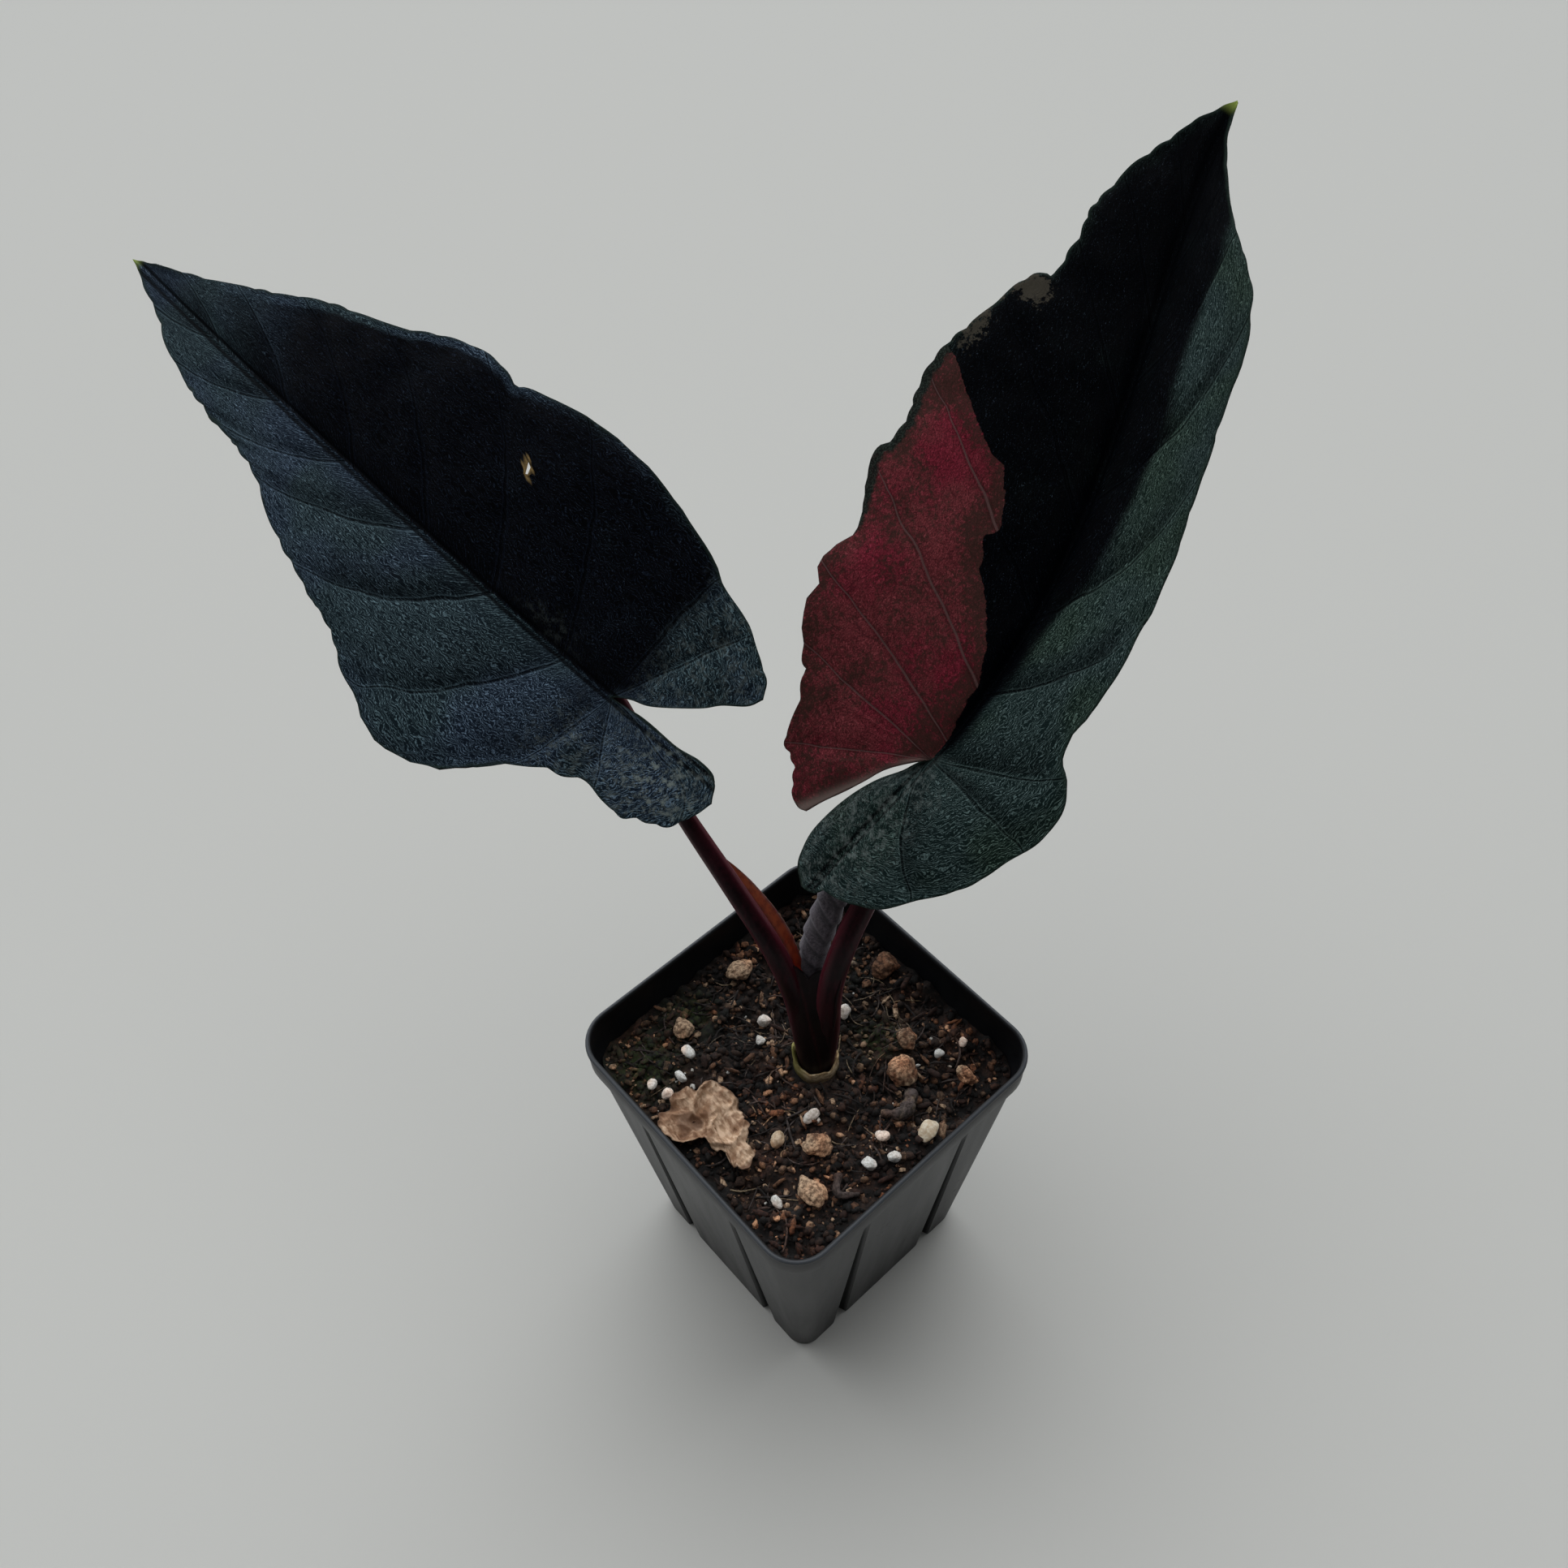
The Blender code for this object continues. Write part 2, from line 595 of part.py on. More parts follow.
def make_dried_leaf(finish, collection):
    """Crumpled dead leaf: a thin sheet, rounded in outline, waved up and down in folds."""
    x, y, length, width, height, turn = DRIED_LEAF
    rows, columns = 9, 20
    angle = radians(turn)
    points = []
    for row in range(rows):
        part = row / (rows - 1)
        for column in range(columns):
            around = 2 * pi * column / columns
            edge = part * (1 + 0.14 * sin(3 * around + 1) + 0.08 * sin(5 * around))
            a, b = edge * length / 2 * cos(around), edge * width / 2 * sin(around)
            fold = height * 0.5 * (0.55 + 0.3 * sin(a * 0.55 + 1) * cos(b * 0.5) + 0.15 * sin(b * 0.9 + a * 0.3))
            px, py = x + a * cos(angle) - b * sin(angle), y + a * sin(angle) + b * cos(angle)
            points.append((px * MM, py * MM, SOIL_TOP + (1.6 + fold) * MM))
    mesh = mesh_of("dried_leaf", points, grid_faces(rows, columns, wrap=True, flip=True))
    piece = add_object("dried_leaf", mesh, finish, collection)
    sheet = piece.modifiers.new("Sheet", "SOLIDIFY")
    sheet.thickness = 0.6 * MM
    sheet.offset = 1
    return piece


def main():
    clear_scene()
    parts = new_collection("potted_alocasia")
    cutters = new_collection("cutters")

    stalk_finish = material("Maroon stalk", (0.05, 0.008, 0.016), 0.4)
    sheath_finish = material("Sheath membrane", (0.16, 0.05, 0.02), 0.5)
    root_finish = material("Corm and root", (0.35, 0.24, 0.13), 0.8)
    perlite_finish = material("Perlite", (0.75, 0.73, 0.68), 0.9)
    bark_finish = material("Bark", (0.25, 0.13, 0.07), 0.9)
    twig_finish = material("Dry twig", (0.16, 0.11, 0.09), 0.85)

    make_pot(parts, cutters)
    mix = make_potting_mix(parts)
    corm_shape("corm", 0.0, parts, root_finish)
    cut(mix, corm_shape("Root pocket", GAP, cutters, root_finish))

    make_blade("left_blade", LEFT_BLADE, material("Slate green leaf", (0.012, 0.02, 0.026), 0.55), parts)
    make_blade("right_blade", RIGHT_BLADE, material("Green and pink leaf", (0.025, 0.035, 0.03), 0.55), parts)
    make_stalk("left_stalk", LEFT_STALK, LEFT_BLADE, stalk_finish, parts)
    make_stalk("right_stalk", RIGHT_STALK, RIGHT_BLADE, stalk_finish, parts)
    tube("furled_leaf", FURLED_LEAF, material("Felted new leaf", (0.1, 0.085, 0.1), 0.8), parts, 22, 10)
    make_sheath("left_sheath", LEFT_STALK, 133, 163, (0.55, 0.83), 3.2, sheath_finish, parts)
    make_sheath("right_sheath", RIGHT_STALK, 118, 146, (-0.35, -0.94), 2.4, sheath_finish, parts)
    make_old_sheath(material("Old sheath", (0.42, 0.33, 0.12), 0.7), parts)

    for number, place in enumerate(PERLITE, 1):
        make_lump(f"perlite_{number:02d}", place, perlite_finish, parts, 0.25, number, facets=2)
    for number, place in enumerate(BARK, 1):
        make_lump(f"bark_chip_{number:02d}", place, bark_finish, parts, 0.5, 40 + number, facets=2)
    make_lump("pale_seed", SEED, material("Seed coat", (0.55, 0.4, 0.26), 0.7), parts, 0.08, 70)
    make_lump("ring_grain", RING_GRAIN, material("Tan grain", (0.42, 0.34, 0.2), 0.8), parts, 0.15, 71)
    for name, route in TWIGS.items():
        make_twig(name, route, twig_finish, parts)
    make_dried_leaf(material("Dried leaf", (0.38, 0.23, 0.12), 0.8), parts)


main()
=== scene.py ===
"""Looks of the potted alocasia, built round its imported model.

Lengths are millimetres in the tables and shape functions, and become metres when a mesh is made. The camera,
the floor, the lights and the places that finishes read are in metres.
"""

import bmesh
import bpy
import numpy as np
from mathutils import Matrix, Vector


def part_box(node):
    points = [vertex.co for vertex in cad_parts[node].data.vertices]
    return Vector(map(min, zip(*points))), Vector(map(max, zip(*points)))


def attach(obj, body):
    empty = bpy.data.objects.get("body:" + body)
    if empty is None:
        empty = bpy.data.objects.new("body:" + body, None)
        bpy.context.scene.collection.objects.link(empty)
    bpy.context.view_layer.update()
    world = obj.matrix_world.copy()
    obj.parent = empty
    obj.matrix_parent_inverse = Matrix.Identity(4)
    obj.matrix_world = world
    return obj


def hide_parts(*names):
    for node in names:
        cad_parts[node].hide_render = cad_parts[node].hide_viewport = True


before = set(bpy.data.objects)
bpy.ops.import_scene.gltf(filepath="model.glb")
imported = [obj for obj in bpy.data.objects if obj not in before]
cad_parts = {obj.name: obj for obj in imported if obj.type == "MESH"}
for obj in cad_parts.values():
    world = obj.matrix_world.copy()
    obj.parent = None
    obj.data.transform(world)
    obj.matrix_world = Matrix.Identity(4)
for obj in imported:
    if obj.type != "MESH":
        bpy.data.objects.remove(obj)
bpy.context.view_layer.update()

MM = 0.001

# Pot
RIM_SIDE = 90
BASE_SIDE = 67
POT_HEIGHT = 110
RIM_DEPTH = 9
RIM_STEP = 1.5
RIM_CORNER = 11
BASE_CORNER = 6
WALL = 1.2
LIP_RADIUS = 0.75
LIP_ROWS = 9
GROOVE_PLACE = 18
GROOVE_TOP = 96
GROOVE_DEPTH = 2.6
GROOVE_NARROW = 1.3
GROOVE_WIDE = 2.7
CORNER_HOLE = 8
CORNER_HOLE_PLACE = 20
SLOT_LENGTH = 13
SLOT_WIDTH = 5
SLOT_PLACE = 25
CUTTER_DEPTH = 8

# Potting mix and the plant's foot on it
SOIL_TOP = 99
SOIL_WAVE = 0.9
FOOT = (2.5, -1.5)
FOOT_CLEARANCE = 7.5
MIX_COLUMNS = 461
CRUMB_ROWS = 5
CRUMB_COLUMNS = 7
BALL_REACH = 1.08
LUMP_SCALE = 0.54
LUMP_SUNK = 0.4
# Patches of moss: height, centre, and reach in x and y
MOSS_PATCHES = [(1, (-33, 30), (8, 9)), (1, (20, -8), (6, 6)), (1, (-14, 33), (7, 6)), (1, (26, 20), (5, 7))]

# Blades, on their own axes: along the midrib from the stalk to the tip, and out from it to either side.
# "face" is the upper face's direction, and "fold" the degrees that each half folds up by. "arch" lifts the
# midrib's middle, "sag" lowers the halves, "bow" bends the midrib aside, and "panels" is how much the painted
# light varies between veins.
#
# In each half, "margin" runs from the tip to the end of the lobe and "sinus" from the stalk to that end.
# Each of "veins" gives where a side vein leaves the midrib and the place by the margin that it makes for;
# "bend" is how far they arch forward. "scallop" is the pitch and depth of the margin's waves, and each of
# "tears" gives a place, a depth and a width. "lobe_fold" is the share of the fold left over the lobe, "roll"
# the reach and the slope that the sinus edge is rolled down by, and "ridge" how high the midrib stands in its
# trough. BOW_SCALE makes the greatest of x (1 - x) squared one, and MIDRIB_CLEARANCE is how far each midrib
# keeps below the plain lower face.
BLADE_THICKNESS = 0.5
BLADE_ROWS = (190, 70)
BLADE_COLUMNS = 64
FOLD_FADE = 35
BOW_SCALE = 27 / 4
MIDRIB_CLEARANCE = 0.9
HOLE_WAVE = 0.5
HOLE_TURN = 2.4
TORN_HOLE = {"place": (45.5, 28.5), "lean": 48, "length": 2.2, "width": 0.7}
LEFT_BLADE = {
    "stalk_end": (-6, 58, 207),
    "tip": (-27, 214, 258),
    "face": (-0.57, -0.32, 0.76),
    "fold": 14,
    "arch": 6,
    "sag": 0.0022,
    "bow": 0,
    "panels": 0.3,
    "left": {
        "lobe_fold": 0.5,
        "scallop": (7.5, 0.36),
        "tears": [((67, 28), 0.6, 0.9)],
        "roll": (0, 1),
        "ridge": 0.6,
        "bend": 0.8,
        "veins": [
            (165, (165, 0)), (132, (151, 4.5)), (108, (136, 10.5)), (84, (118, 14.4)), (60, (99, 16)),
            (36.5, (77, 25.5)), (13.5, (50, 36.8)), (0, (8, 27)), (0, (-10.5, 18.8)), (0, (-31, 11)),
            (0, (-33.4, 3.6)),
        ],
        "margin": [
            (165, 0), (151, 4.5), (145, 6.6), (137, 10.2), (129, 12), (118, 13.9), (112, 14.2), (106, 14.8),
            (99, 16.6), (92, 19.9), (82, 24.1), (74, 26.6), (69, 28.4), (63, 29.6), (59, 31.2), (54, 34),
            (49, 36.9), (44, 39), (41, 40.6), (36, 42.5), (30, 42.9), (22, 40.2), (16, 35.6), (11, 30.3),
            (2, 23.2), (-3.6, 21), (-8.6, 18.6), (-14, 19.3), (-19.3, 19.8), (-22.4, 17.8), (-29.2, 14.4),
            (-32.2, 8), (-33.4, 3.6),
        ],
        "sinus": [(0, 0), (-9, -1), (-19, -1), (-25, -2), (-30, -1), (-33.4, 3.6)],
    },
    "right": {
        "lobe_fold": 0.5,
        "scallop": (9, 0.22),
        "tears": [((58.8, 41.4), 1.4, 0.8)],
        "roll": (0, 1),
        "ridge": 0.6,
        "hole": TORN_HOLE,
        "bend": 0.7,
        "veins": [
            (165, (165, 0)), (130, (150, 6.2)), (105, (133, 14)), (81, (115, 23)), (58, (94, 31.2)),
            (36, (70, 41.3)), (14, (42, 45.6)), (0, (-4, 37.6)), (0, (-16.5, 32.4)), (0, (-27.3, 22.8)),
        ],
        "margin": [
            (165, 0), (155, 4.4), (142, 9.7), (131, 15), (122, 19.3), (110, 25.6), (100, 29.2), (90, 32.9),
            (81, 37.6), (74, 40.6), (68, 41.8), (62, 41.4), (58, 41.4), (54, 42.8), (46, 44.9), (36, 46.3),
            (24, 46.2), (9.5, 42.9), (0, 39.6), (-6.5, 36.1), (-13.7, 34.2), (-19, 30.6), (-25, 26.8),
            (-27.3, 22.8), ],
        "sinus": [(0, 0), (-4, 2.6), (-9, 4.8), (-17.5, 11.7), (-21, 15.6), (-25.6, 19.4), (-27.3, 22.8)],
    },
}
RIGHT_BLADE = {
    "stalk_end": (42, 1, 195),
    "tip": (181, 44, 285),
    "face": (-0.55, 0.02, 0.83),
    "fold": 26,
    "arch": 3,
    "sag": 0.0022,
    "bow": -10.5,
    "panels": 0.5,
    "left": {
        "lobe_fold": 0.6,
        "scallop": (6.5, 0.35),
        "tears": [
            ((25.5, 46), 2.4, 0.7), ((7, 37), 0.8, 0.9), ((114, 23.5), 1.5, 0.5), ((49, 45.4), 0.8, 0.8),
        ],
        "roll": (0, 1),
        "ridge": 0.0,
        "bend": -0.25,
        "veins": [
            (171, (171, 0)), (138, (158, 8)), (112, (144, 15.4)), (88, (124, 20.6)), (62, (105, 32)),
            (38, (82, 43)), (17, (57, 46.6)), (5, (31.4, 46.9)), (0, (12, 40.5)), (0, (-10.5, 29)),
            (0, (-23.1, 13.4)),
        ],
        "margin": [
            (171, 0), (166, 3.4), (160, 7.2), (151, 12), (144, 15.4), (134, 19.4), (126, 20.3),
            (120, 21.4), (115.4, 22.6), (113.8, 25.2), (110, 28.8), (103, 33.4), (97, 36.2), (89, 40.6),
            (82, 43.1), (74.6, 43.4), (70, 42.9), (64, 44.5), (60.8, 46.8), (55, 46.4), (49, 45.4),
            (44, 43), (39.5, 43.1), (36, 45.3), (31.4, 46.9), (22, 44.7), (16.3, 42.5), (6, 36.3),
            (0.5, 33.2), (-5.4, 31), (-10, 29.4), (-12.6, 25.8), (-14.8, 23), (-20, 19.4), (-23, 15.8),
            (-23.1, 13.4),
        ],
        "sinus": [(0, 0), (-6, 5.6), (-11, 7.8), (-15, 9.6), (-19.3, 11.9), (-23.1, 13.4)],
    },
    "right": {
        "lobe_fold": 0.2,
        "scallop": (11, 0.15),
        "tears": [((-38.6, 3), 1.0, 0.9)],
        "roll": (4.5, 0.5),
        "ridge": 0.0,
        "bend": 1,
        "veins": [
            (171, (171, 0)), (146, (162, 1.6)), (122, (150, 7)), (96, (134, 15.5)), (67, (114, 25.5)),
            (38, (78, 26.5)), (18, (42, 28.2)), (0, (6, 33)), (0, (-12, 36)), (0, (-32, 23)),
            (0, (-39.9, -3.5)),
        ],
        "margin": [
            (171, 0), (165, 1), (157, 3.4), (141, 11), (131, 17.2), (121, 23.2), (113, 25.6),
            (103.5, 26.9), (96, 26.6), (85, 26.4), (73.5, 26.6), (62.5, 27.4), (55, 27.9), (46, 28.4),
            (40, 28.2), (32.4, 29), (26, 28.3), (20.7, 28.3), (15.3, 27.5), (9.8, 29), (6.2, 33),
            (1.2, 36.3), (-3.5, 37.5), (-8.8, 37.2), (-14.7, 34.4), (-21, 32.4), (-25.4, 29.6), (-31, 24),
            (-36.2, 19.1), (-38.1, 13.9), (-38.7, 8.4), (-38.7, 4.6), (-40.2, 1.1), (-39.9, -3.5),
        ],
        "sinus": [(0, 0), (-4, -4.6), (-9.5, -9.4), (-17, -12), (-25.7, -12.4), (-31.4, -10.8), (-35.8, -8.4),
                  (-39.9, -3.5)],
    },
}
# Edge of the pink sector: how far out from the midrib it lies at places along it
SECTOR_EDGE = [
    (-30, -9), (0, -0.5), (4, 0), (14, 2), (20, 2.4), (28, 5), (38, 10.5), (44, 15), (46, 15), (51, 17.2),
    (54, 14.5), (60, 16), (67.5, 19), (69, 22.5), (75, 28), (81, 33), (86.5, 37), (92, 44),
]
# Paths of the stalks and the furled leaf: x, y, z and radius
LEFT_STALK = [
    (1.8, -0.4, 98, 3.3), (1.2, 0.6, 106, 3.0), (0.8, 2.4, 119, 2.9), (0.4, 4.6, 132, 3.0),
    (-0.6, 10.5, 147, 2.9), (-1.8, 22, 161, 2.6), (-3.4, 37, 178, 2.3), (-4.8, 48, 193, 2.1),
]
RIGHT_STALK = [
    (3.2, -2.6, 98, 3.3), (4.0, -3.2, 106, 3.2), (4.8, -3.6, 119, 3.2), (6.2, -3.2, 137, 3.3),
    (12, -2.5, 151.5, 3.1), (20, -1.6, 162, 2.8), (28.5, -0.8, 173, 2.5), (35, -0.1, 183, 2.3),
]
FURLED_LEAF = [
    (4.2, -0.2, 108, 1.6), (4.6, 2.0, 118, 2.2), (6.0, 4.4, 128, 3.2), (9.4, 6.2, 142, 4.0),
    (15, 6.4, 156, 4.0), (20.5, 6.2, 168, 2.8), (25, 6.4, 177, 0.6),
]
# The midrib under each blade: how far along, and its radius
MIDRIB_UNDERSIDE = [(0, 1.9), (14, 1.5), (34, 1.25), (60, 1.0), (90, 0.8), (120, 0.6), (145, 0.4)]

# Things on the mix. Each twig has a shade and then x, y and radius along it; the others are x and y.
TWIGS = {
    "grey_twig": (0.6, [(15, -26, 1.6), (9, -29, 2.2), (4, -25, 1.4)]),
    "brown_twig": (0.4, [(-15, -29, 1.1), (-19, -33, 1.4), (-15, -37, 1.0)]),
    "pale_straw": (0.95, [(31, 12, 0.7), (27, 20, 0.9), (24, 29, 0.6)]),
}
DRIED_LEAF_OUTLINE = [
    (-42.5, 8.5), (-40, 13), (-36, 13.5), (-34, 15.5), (-30, 16), (-28, 12.5), (-25, 12), (-22, 9),
    (-21.5, 4), (-23, 0), (-24, -5), (-27.5, -7.5), (-28.5, -12), (-32, -13), (-34.5, -10.5),
    (-33.5, -6.5), (-35.5, -3), (-35, 1), (-39, 2), (-41.5, 5),
]
DRIED_LEAF_MIDDLE = (-31.0, 2.5)
PERLITE_SPOTS = [(-29, 20), (-27, 16), (22, -21), (19, -19), (-9, -15), (0, -36), (-7, -34), (-24, -31)]

# Camera: its place in metres, its turn, height and roll in degrees, and its lens and sensor in millimetres
CAMERA_PLACE = (-0.1203, -0.1374, 0.4606)
CAMERA_TURN = -40.3
CAMERA_HEIGHT = 52.35
CAMERA_ROLL = 2.24
CAMERA_LENS = 33.54
CAMERA_SENSOR = 36
CAMERA_NEAR = 0.01

# Sky: the direction it is bright in, the cosines to it that it brightens between, and its strength at those
SKY_SIDE = (0.45, 0.75, 0.5)
SKY_SPREAD = (0.1, 0.9)
SKY_STRENGTH = (0.1, 1.8)
SKY_COLOUR = (0.93, 0.97, 1.0)
TOP_POWER = 7
LIGHT_AIM = (0.03, 0.05, 0.15)
FLOOR_REACH = 3

# Blade colours of valleys and ridges: unlit, then lit in two tints
SLATE_VALLEYS = ((0.0003, 0.0005, 0.0014), (0.0085, 0.015, 0.027), (0.0075, 0.015, 0.0205))
SLATE_RIDGES = ((0.010, 0.015, 0.028), (0.18, 0.265, 0.37), (0.16, 0.25, 0.285))
GREEN_VALLEYS = ((0.0002, 0.0004, 0.0009), (0.006, 0.013, 0.013), (0.006, 0.013, 0.010))
GREEN_RIDGES = ((0.0025, 0.0038, 0.0065), (0.105, 0.155, 0.15), (0.1, 0.155, 0.125))
# Painted glint added on the brightest wrinkles, then the chalk, rim, speck, tip and scorch colours
BLADE_GLINT = (0.022, 0.03, 0.04)
BLADE_CHALK = (0.2, 0.235, 0.225)
BLADE_RIM = (0.018, 0.03, 0.024)
BLADE_SPECKS = (0.05, 0.044, 0.034)
TIP_GREEN = (0.3, 0.38, 0.08)
SCORCHED = (0.33, 0.22, 0.09)

# Pink sector's colours
PINKS = ((0.24, 0.05, 0.058), (0.27, 0.03, 0.052))
PINK_DUST = (0.45, 0.45, 0.45)
# Tints for painted shade and painted light on the pink's wrinkles
PINK_SHADED_AND_LIT = ((0.72, 0.66, 0.68), (1.25, 1.3, 1.3))
RED_NET = (0.022, 0.005, 0.007)
BROWN_SPOTS = (0.03, 0.02, 0.015)
WHITE_EDGE = (0.24, 0.18, 0.16)
PINK_FLANKS = (0.03, 0.006, 0.008)
PINK_VEINS = (0.11, 0.06, 0.058)
DARK_SCALES = ((0.006, 0.01, 0.009), (0.03, 0.045, 0.036))

# Tones from dark to pale. The third of a stalk's is its painted lit edges', and of a dry finish's its torn
# edges', which on the dead leaf also paint shade in its fold valleys.
MAROON_TONES = ((0.006, 0.0015, 0.0025), (0.021, 0.003, 0.006), (0.1, 0.010, 0.02))
SHEATH_TONES = ((0.002, 0.001, 0.0013), (0.006, 0.002, 0.003), (0.07, 0.009, 0.014))
OLD_SHEATH_TONES = ((0.55, 0.38, 0.19), (0.8, 0.63, 0.4), (0.34, 0.34, 0.08))
DEAD_LEAF_TONES = ((0.3, 0.16, 0.085), (0.72, 0.51, 0.35), (0.13, 0.06, 0.03))
ROOT_TONES = ((0.2, 0.13, 0.07), (0.4, 0.3, 0.18), (0.3, 0.2, 0.1))
EARTH_TONES = ((0.0035, 0.0022, 0.0017), (0.05, 0.025, 0.016), (0.27, 0.165, 0.1))
BARK_TONES = ((0.035, 0.015, 0.01), (0.22, 0.105, 0.055), (0.62, 0.43, 0.28))
PERLITE_TONES = ((0.55, 0.52, 0.45), (0.78, 0.76, 0.72), (0.88, 0.87, 0.84))
SEED_TONES = ((0.4, 0.26, 0.15), (0.62, 0.48, 0.33), (0.82, 0.72, 0.56))
TWIG_TONES = ((0.012, 0.008, 0.007), (0.1, 0.076, 0.07), (0.38, 0.29, 0.18))
DARK_PORES = (0.3, 0.27, 0.25)
PERLITE_PORES = (0.72, 0.7, 0.66)
SEED_PORES = (0.75, 0.65, 0.55)
WARM_TINT = (1.45, 1.1, 0.93)
MOSS_GREEN = (0.028, 0.043, 0.008)
FLOOR_COLOUR = (0.585, 0.575, 0.545)

# Multipliers that mix whole numbers up, for noise
KEY_FACTORS = (73856093, 19349663, 83492791)
SEED_FACTOR = 2654435761
MIX_FACTOR = 1274126177


# Numbers and curves


def smooth_step(value):
    """0 below 0, 1 above 1, and the cubic 3v2 - 2v3 between."""
    value = np.clip(value, 0, 1)
    return value * value * (3 - 2 * value)


def unit(vectors):
    vectors = np.asarray(vectors, float)
    return vectors / np.linalg.norm(vectors, axis=-1, keepdims=True)


def lattice_noise(points, size, seed=0):
    """Value noise from -1 to 1: a mixed-up number at each lattice point, eased by a cubic between them."""
    places = np.asarray(points, float) / size
    cell = np.floor(places).astype(np.int64)
    part = smooth_step(places - cell)
    total = 0
    for corner in np.ndindex(*(2,) * places.shape[-1]):
        keys = cell + corner
        mixed = (keys * KEY_FACTORS[: keys.shape[-1]]).sum(-1) + seed * SEED_FACTOR
        mixed = (mixed ^ (mixed >> 13)) * MIX_FACTOR & 0x7FFFFFFF
        value = ((mixed ^ (mixed >> 15)) & 0xFFFF) / 65535
        total = total + value * np.where(corner, part, 1 - part).prod(-1)
    return 2 * total - 1


def layered_noise(points, sizes_and_heights, seed=0):
    """Sum of value noises, each with its own size and height."""
    return sum(height * lattice_noise(points, size, seed + k)
               for k, (size, height) in enumerate(sizes_and_heights))


def curve_through(points, samples, closed=False):
    """Catmull-Rom curve through the points, sampled at equal steps of the chord length."""
    inner = np.asarray(points, float)
    if closed:
        inner = np.vstack([inner, inner[:1]])
        ends = np.vstack([inner[-2], inner, inner[1]])
    else:
        ends = np.vstack([2 * inner[0] - inner[1], inner, 2 * inner[-1] - inner[-2]])
    chords = np.linalg.norm(np.diff(inner[:, :3], axis=0), axis=1)
    knots = np.concatenate([[0], np.cumsum(chords)])
    place = np.linspace(0, knots[-1], samples)
    span = np.clip(np.searchsorted(knots, place, side="right") - 1, 0, len(chords) - 1)
    t = ((place - knots[span]) / chords[span])[:, None]
    a, b, c, d = (ends[span + k] for k in range(4))
    return 0.5 * (2 * b + (c - a) * t + (2 * a - 5 * b + 4 * c - d) * t**2 + (3 * b - a - 3 * c + d) * t**3)


def run_length(points, axis=0):
    """Distance travelled along rows of points, from 0."""
    steps = np.linalg.norm(np.diff(points, axis=axis), axis=-1)
    start = np.zeros_like(steps.take([0], axis=axis))
    return np.cumsum(np.concatenate([start, steps], axis=axis), axis=axis)


def swept(path, offsets, side):
    """Carries a row of offsets (across, other) to each point of a path; across is side made square to it."""
    forward = unit(np.gradient(path, axis=0))
    across = unit(side - forward * (forward @ np.asarray(side, float))[:, None])
    other = np.cross(forward, across)
    return path[:, None] + offsets[..., :1] * across[:, None] + offsets[..., 1:] * other[:, None]


def joined(*parts):
    """The parts as the last axis of one array."""
    return np.stack(parts, -1)


def full_turn(count):
    """Angles once round, with both ends."""
    return np.linspace(0, 2 * np.pi, count)


def circle(angles):
    return joined(np.cos(angles), np.sin(angles))


def round_offsets(radii, columns):
    """Offsets of circles of these radii, the last column on the first, with both ends drawn to a point."""
    closed = np.array(radii, float)
    closed[[0, -1]] = 0
    return closed[:, None, None] * circle(full_turn(columns))


def read_off(rows, places, wanted):
    """Rows known at rising places, read off at the wanted ones along straight lines."""
    return joined(*(np.interp(wanted, places, column) for column in rows.T))


def bumps(flat, *places):
    """Sum of soft bumps: bell curves that each have a height, a centre and a reach in both directions."""
    return sum(height * np.exp(-(((flat - centre) / reach) ** 2).sum(-1)) for height, centre, reach in places)


# Pieces


def grid(points, values, maps=None, keep=None, flip=False):
    """Grids of points (..., rows, columns, 3), with values and UV maps at the points and a mask of quads."""
    return {"points": points, "values": values, "maps": maps or {}, "keep": keep, "flip": flip}


def quads_of(shape, keep, flip):
    """Corner numbers of the quads between neighbouring rows and columns of grids of this shape."""
    index = np.arange(np.prod(shape)).reshape(shape)
    quads = joined(index[..., :-1, :-1], index[..., :-1, 1:], index[..., 1:, 1:], index[..., 1:, :-1])
    quads = quads[keep] if keep is not None else quads.reshape(-1, 4)
    return quads[:, ::-1] if flip else quads


def mesh_of(name, grids, closed):
    """Mesh of grids; points that meet are made one, and a closed mesh has its faces turned outwards."""
    all_quads, first = [], 0
    for one in grids:
        shape = one["points"].shape[:-1]
        all_quads.append(quads_of(shape, one["keep"], one["flip"]) + first)
        first += int(np.prod(shape))
    quads = np.concatenate(all_quads)
    points = np.concatenate([one["points"].reshape(-1, 3) for one in grids]) * MM
    mesh = bpy.data.meshes.new(name)
    mesh.vertices.add(len(points))
    mesh.vertices.foreach_set("co", points.astype(np.float32).ravel())
    mesh.loops.add(quads.size)
    mesh.loops.foreach_set("vertex_index", quads.astype(np.int32).ravel())
    mesh.polygons.add(len(quads))
    mesh.polygons.foreach_set("loop_start", np.arange(0, quads.size, 4, dtype=np.int32))
    mesh.update(calc_edges=True)
    for key in grids[0]["maps"]:
        flat = np.concatenate([one["maps"][key].reshape(-1, 2) for one in grids])
        layer = mesh.uv_layers.new(name=key)
        layer.data.foreach_set("uv", flat[quads.ravel()].astype(np.float32).ravel())
    for key in grids[0]["values"]:
        flat = np.concatenate([np.broadcast_to(one["values"][key], one["points"].shape[:-1]).ravel()
                               for one in grids])
        layer = mesh.attributes.new(key, "FLOAT", "POINT")
        layer.data.foreach_set("value", flat.astype(np.float32))
    solid = bmesh.new()
    solid.from_mesh(mesh)
    bmesh.ops.remove_doubles(solid, verts=solid.verts, dist=1e-6)
    bmesh.ops.delete(solid, geom=[vert for vert in solid.verts if not vert.link_faces], context="VERTS")
    if closed:
        bmesh.ops.recalc_face_normals(solid, faces=solid.faces)
    solid.to_mesh(mesh)
    solid.free()
    mesh.shade_smooth()
    return mesh


def add_object(name, data):
    made = bpy.data.objects.new(name, data)
    bpy.context.scene.collection.objects.link(made)
    return made


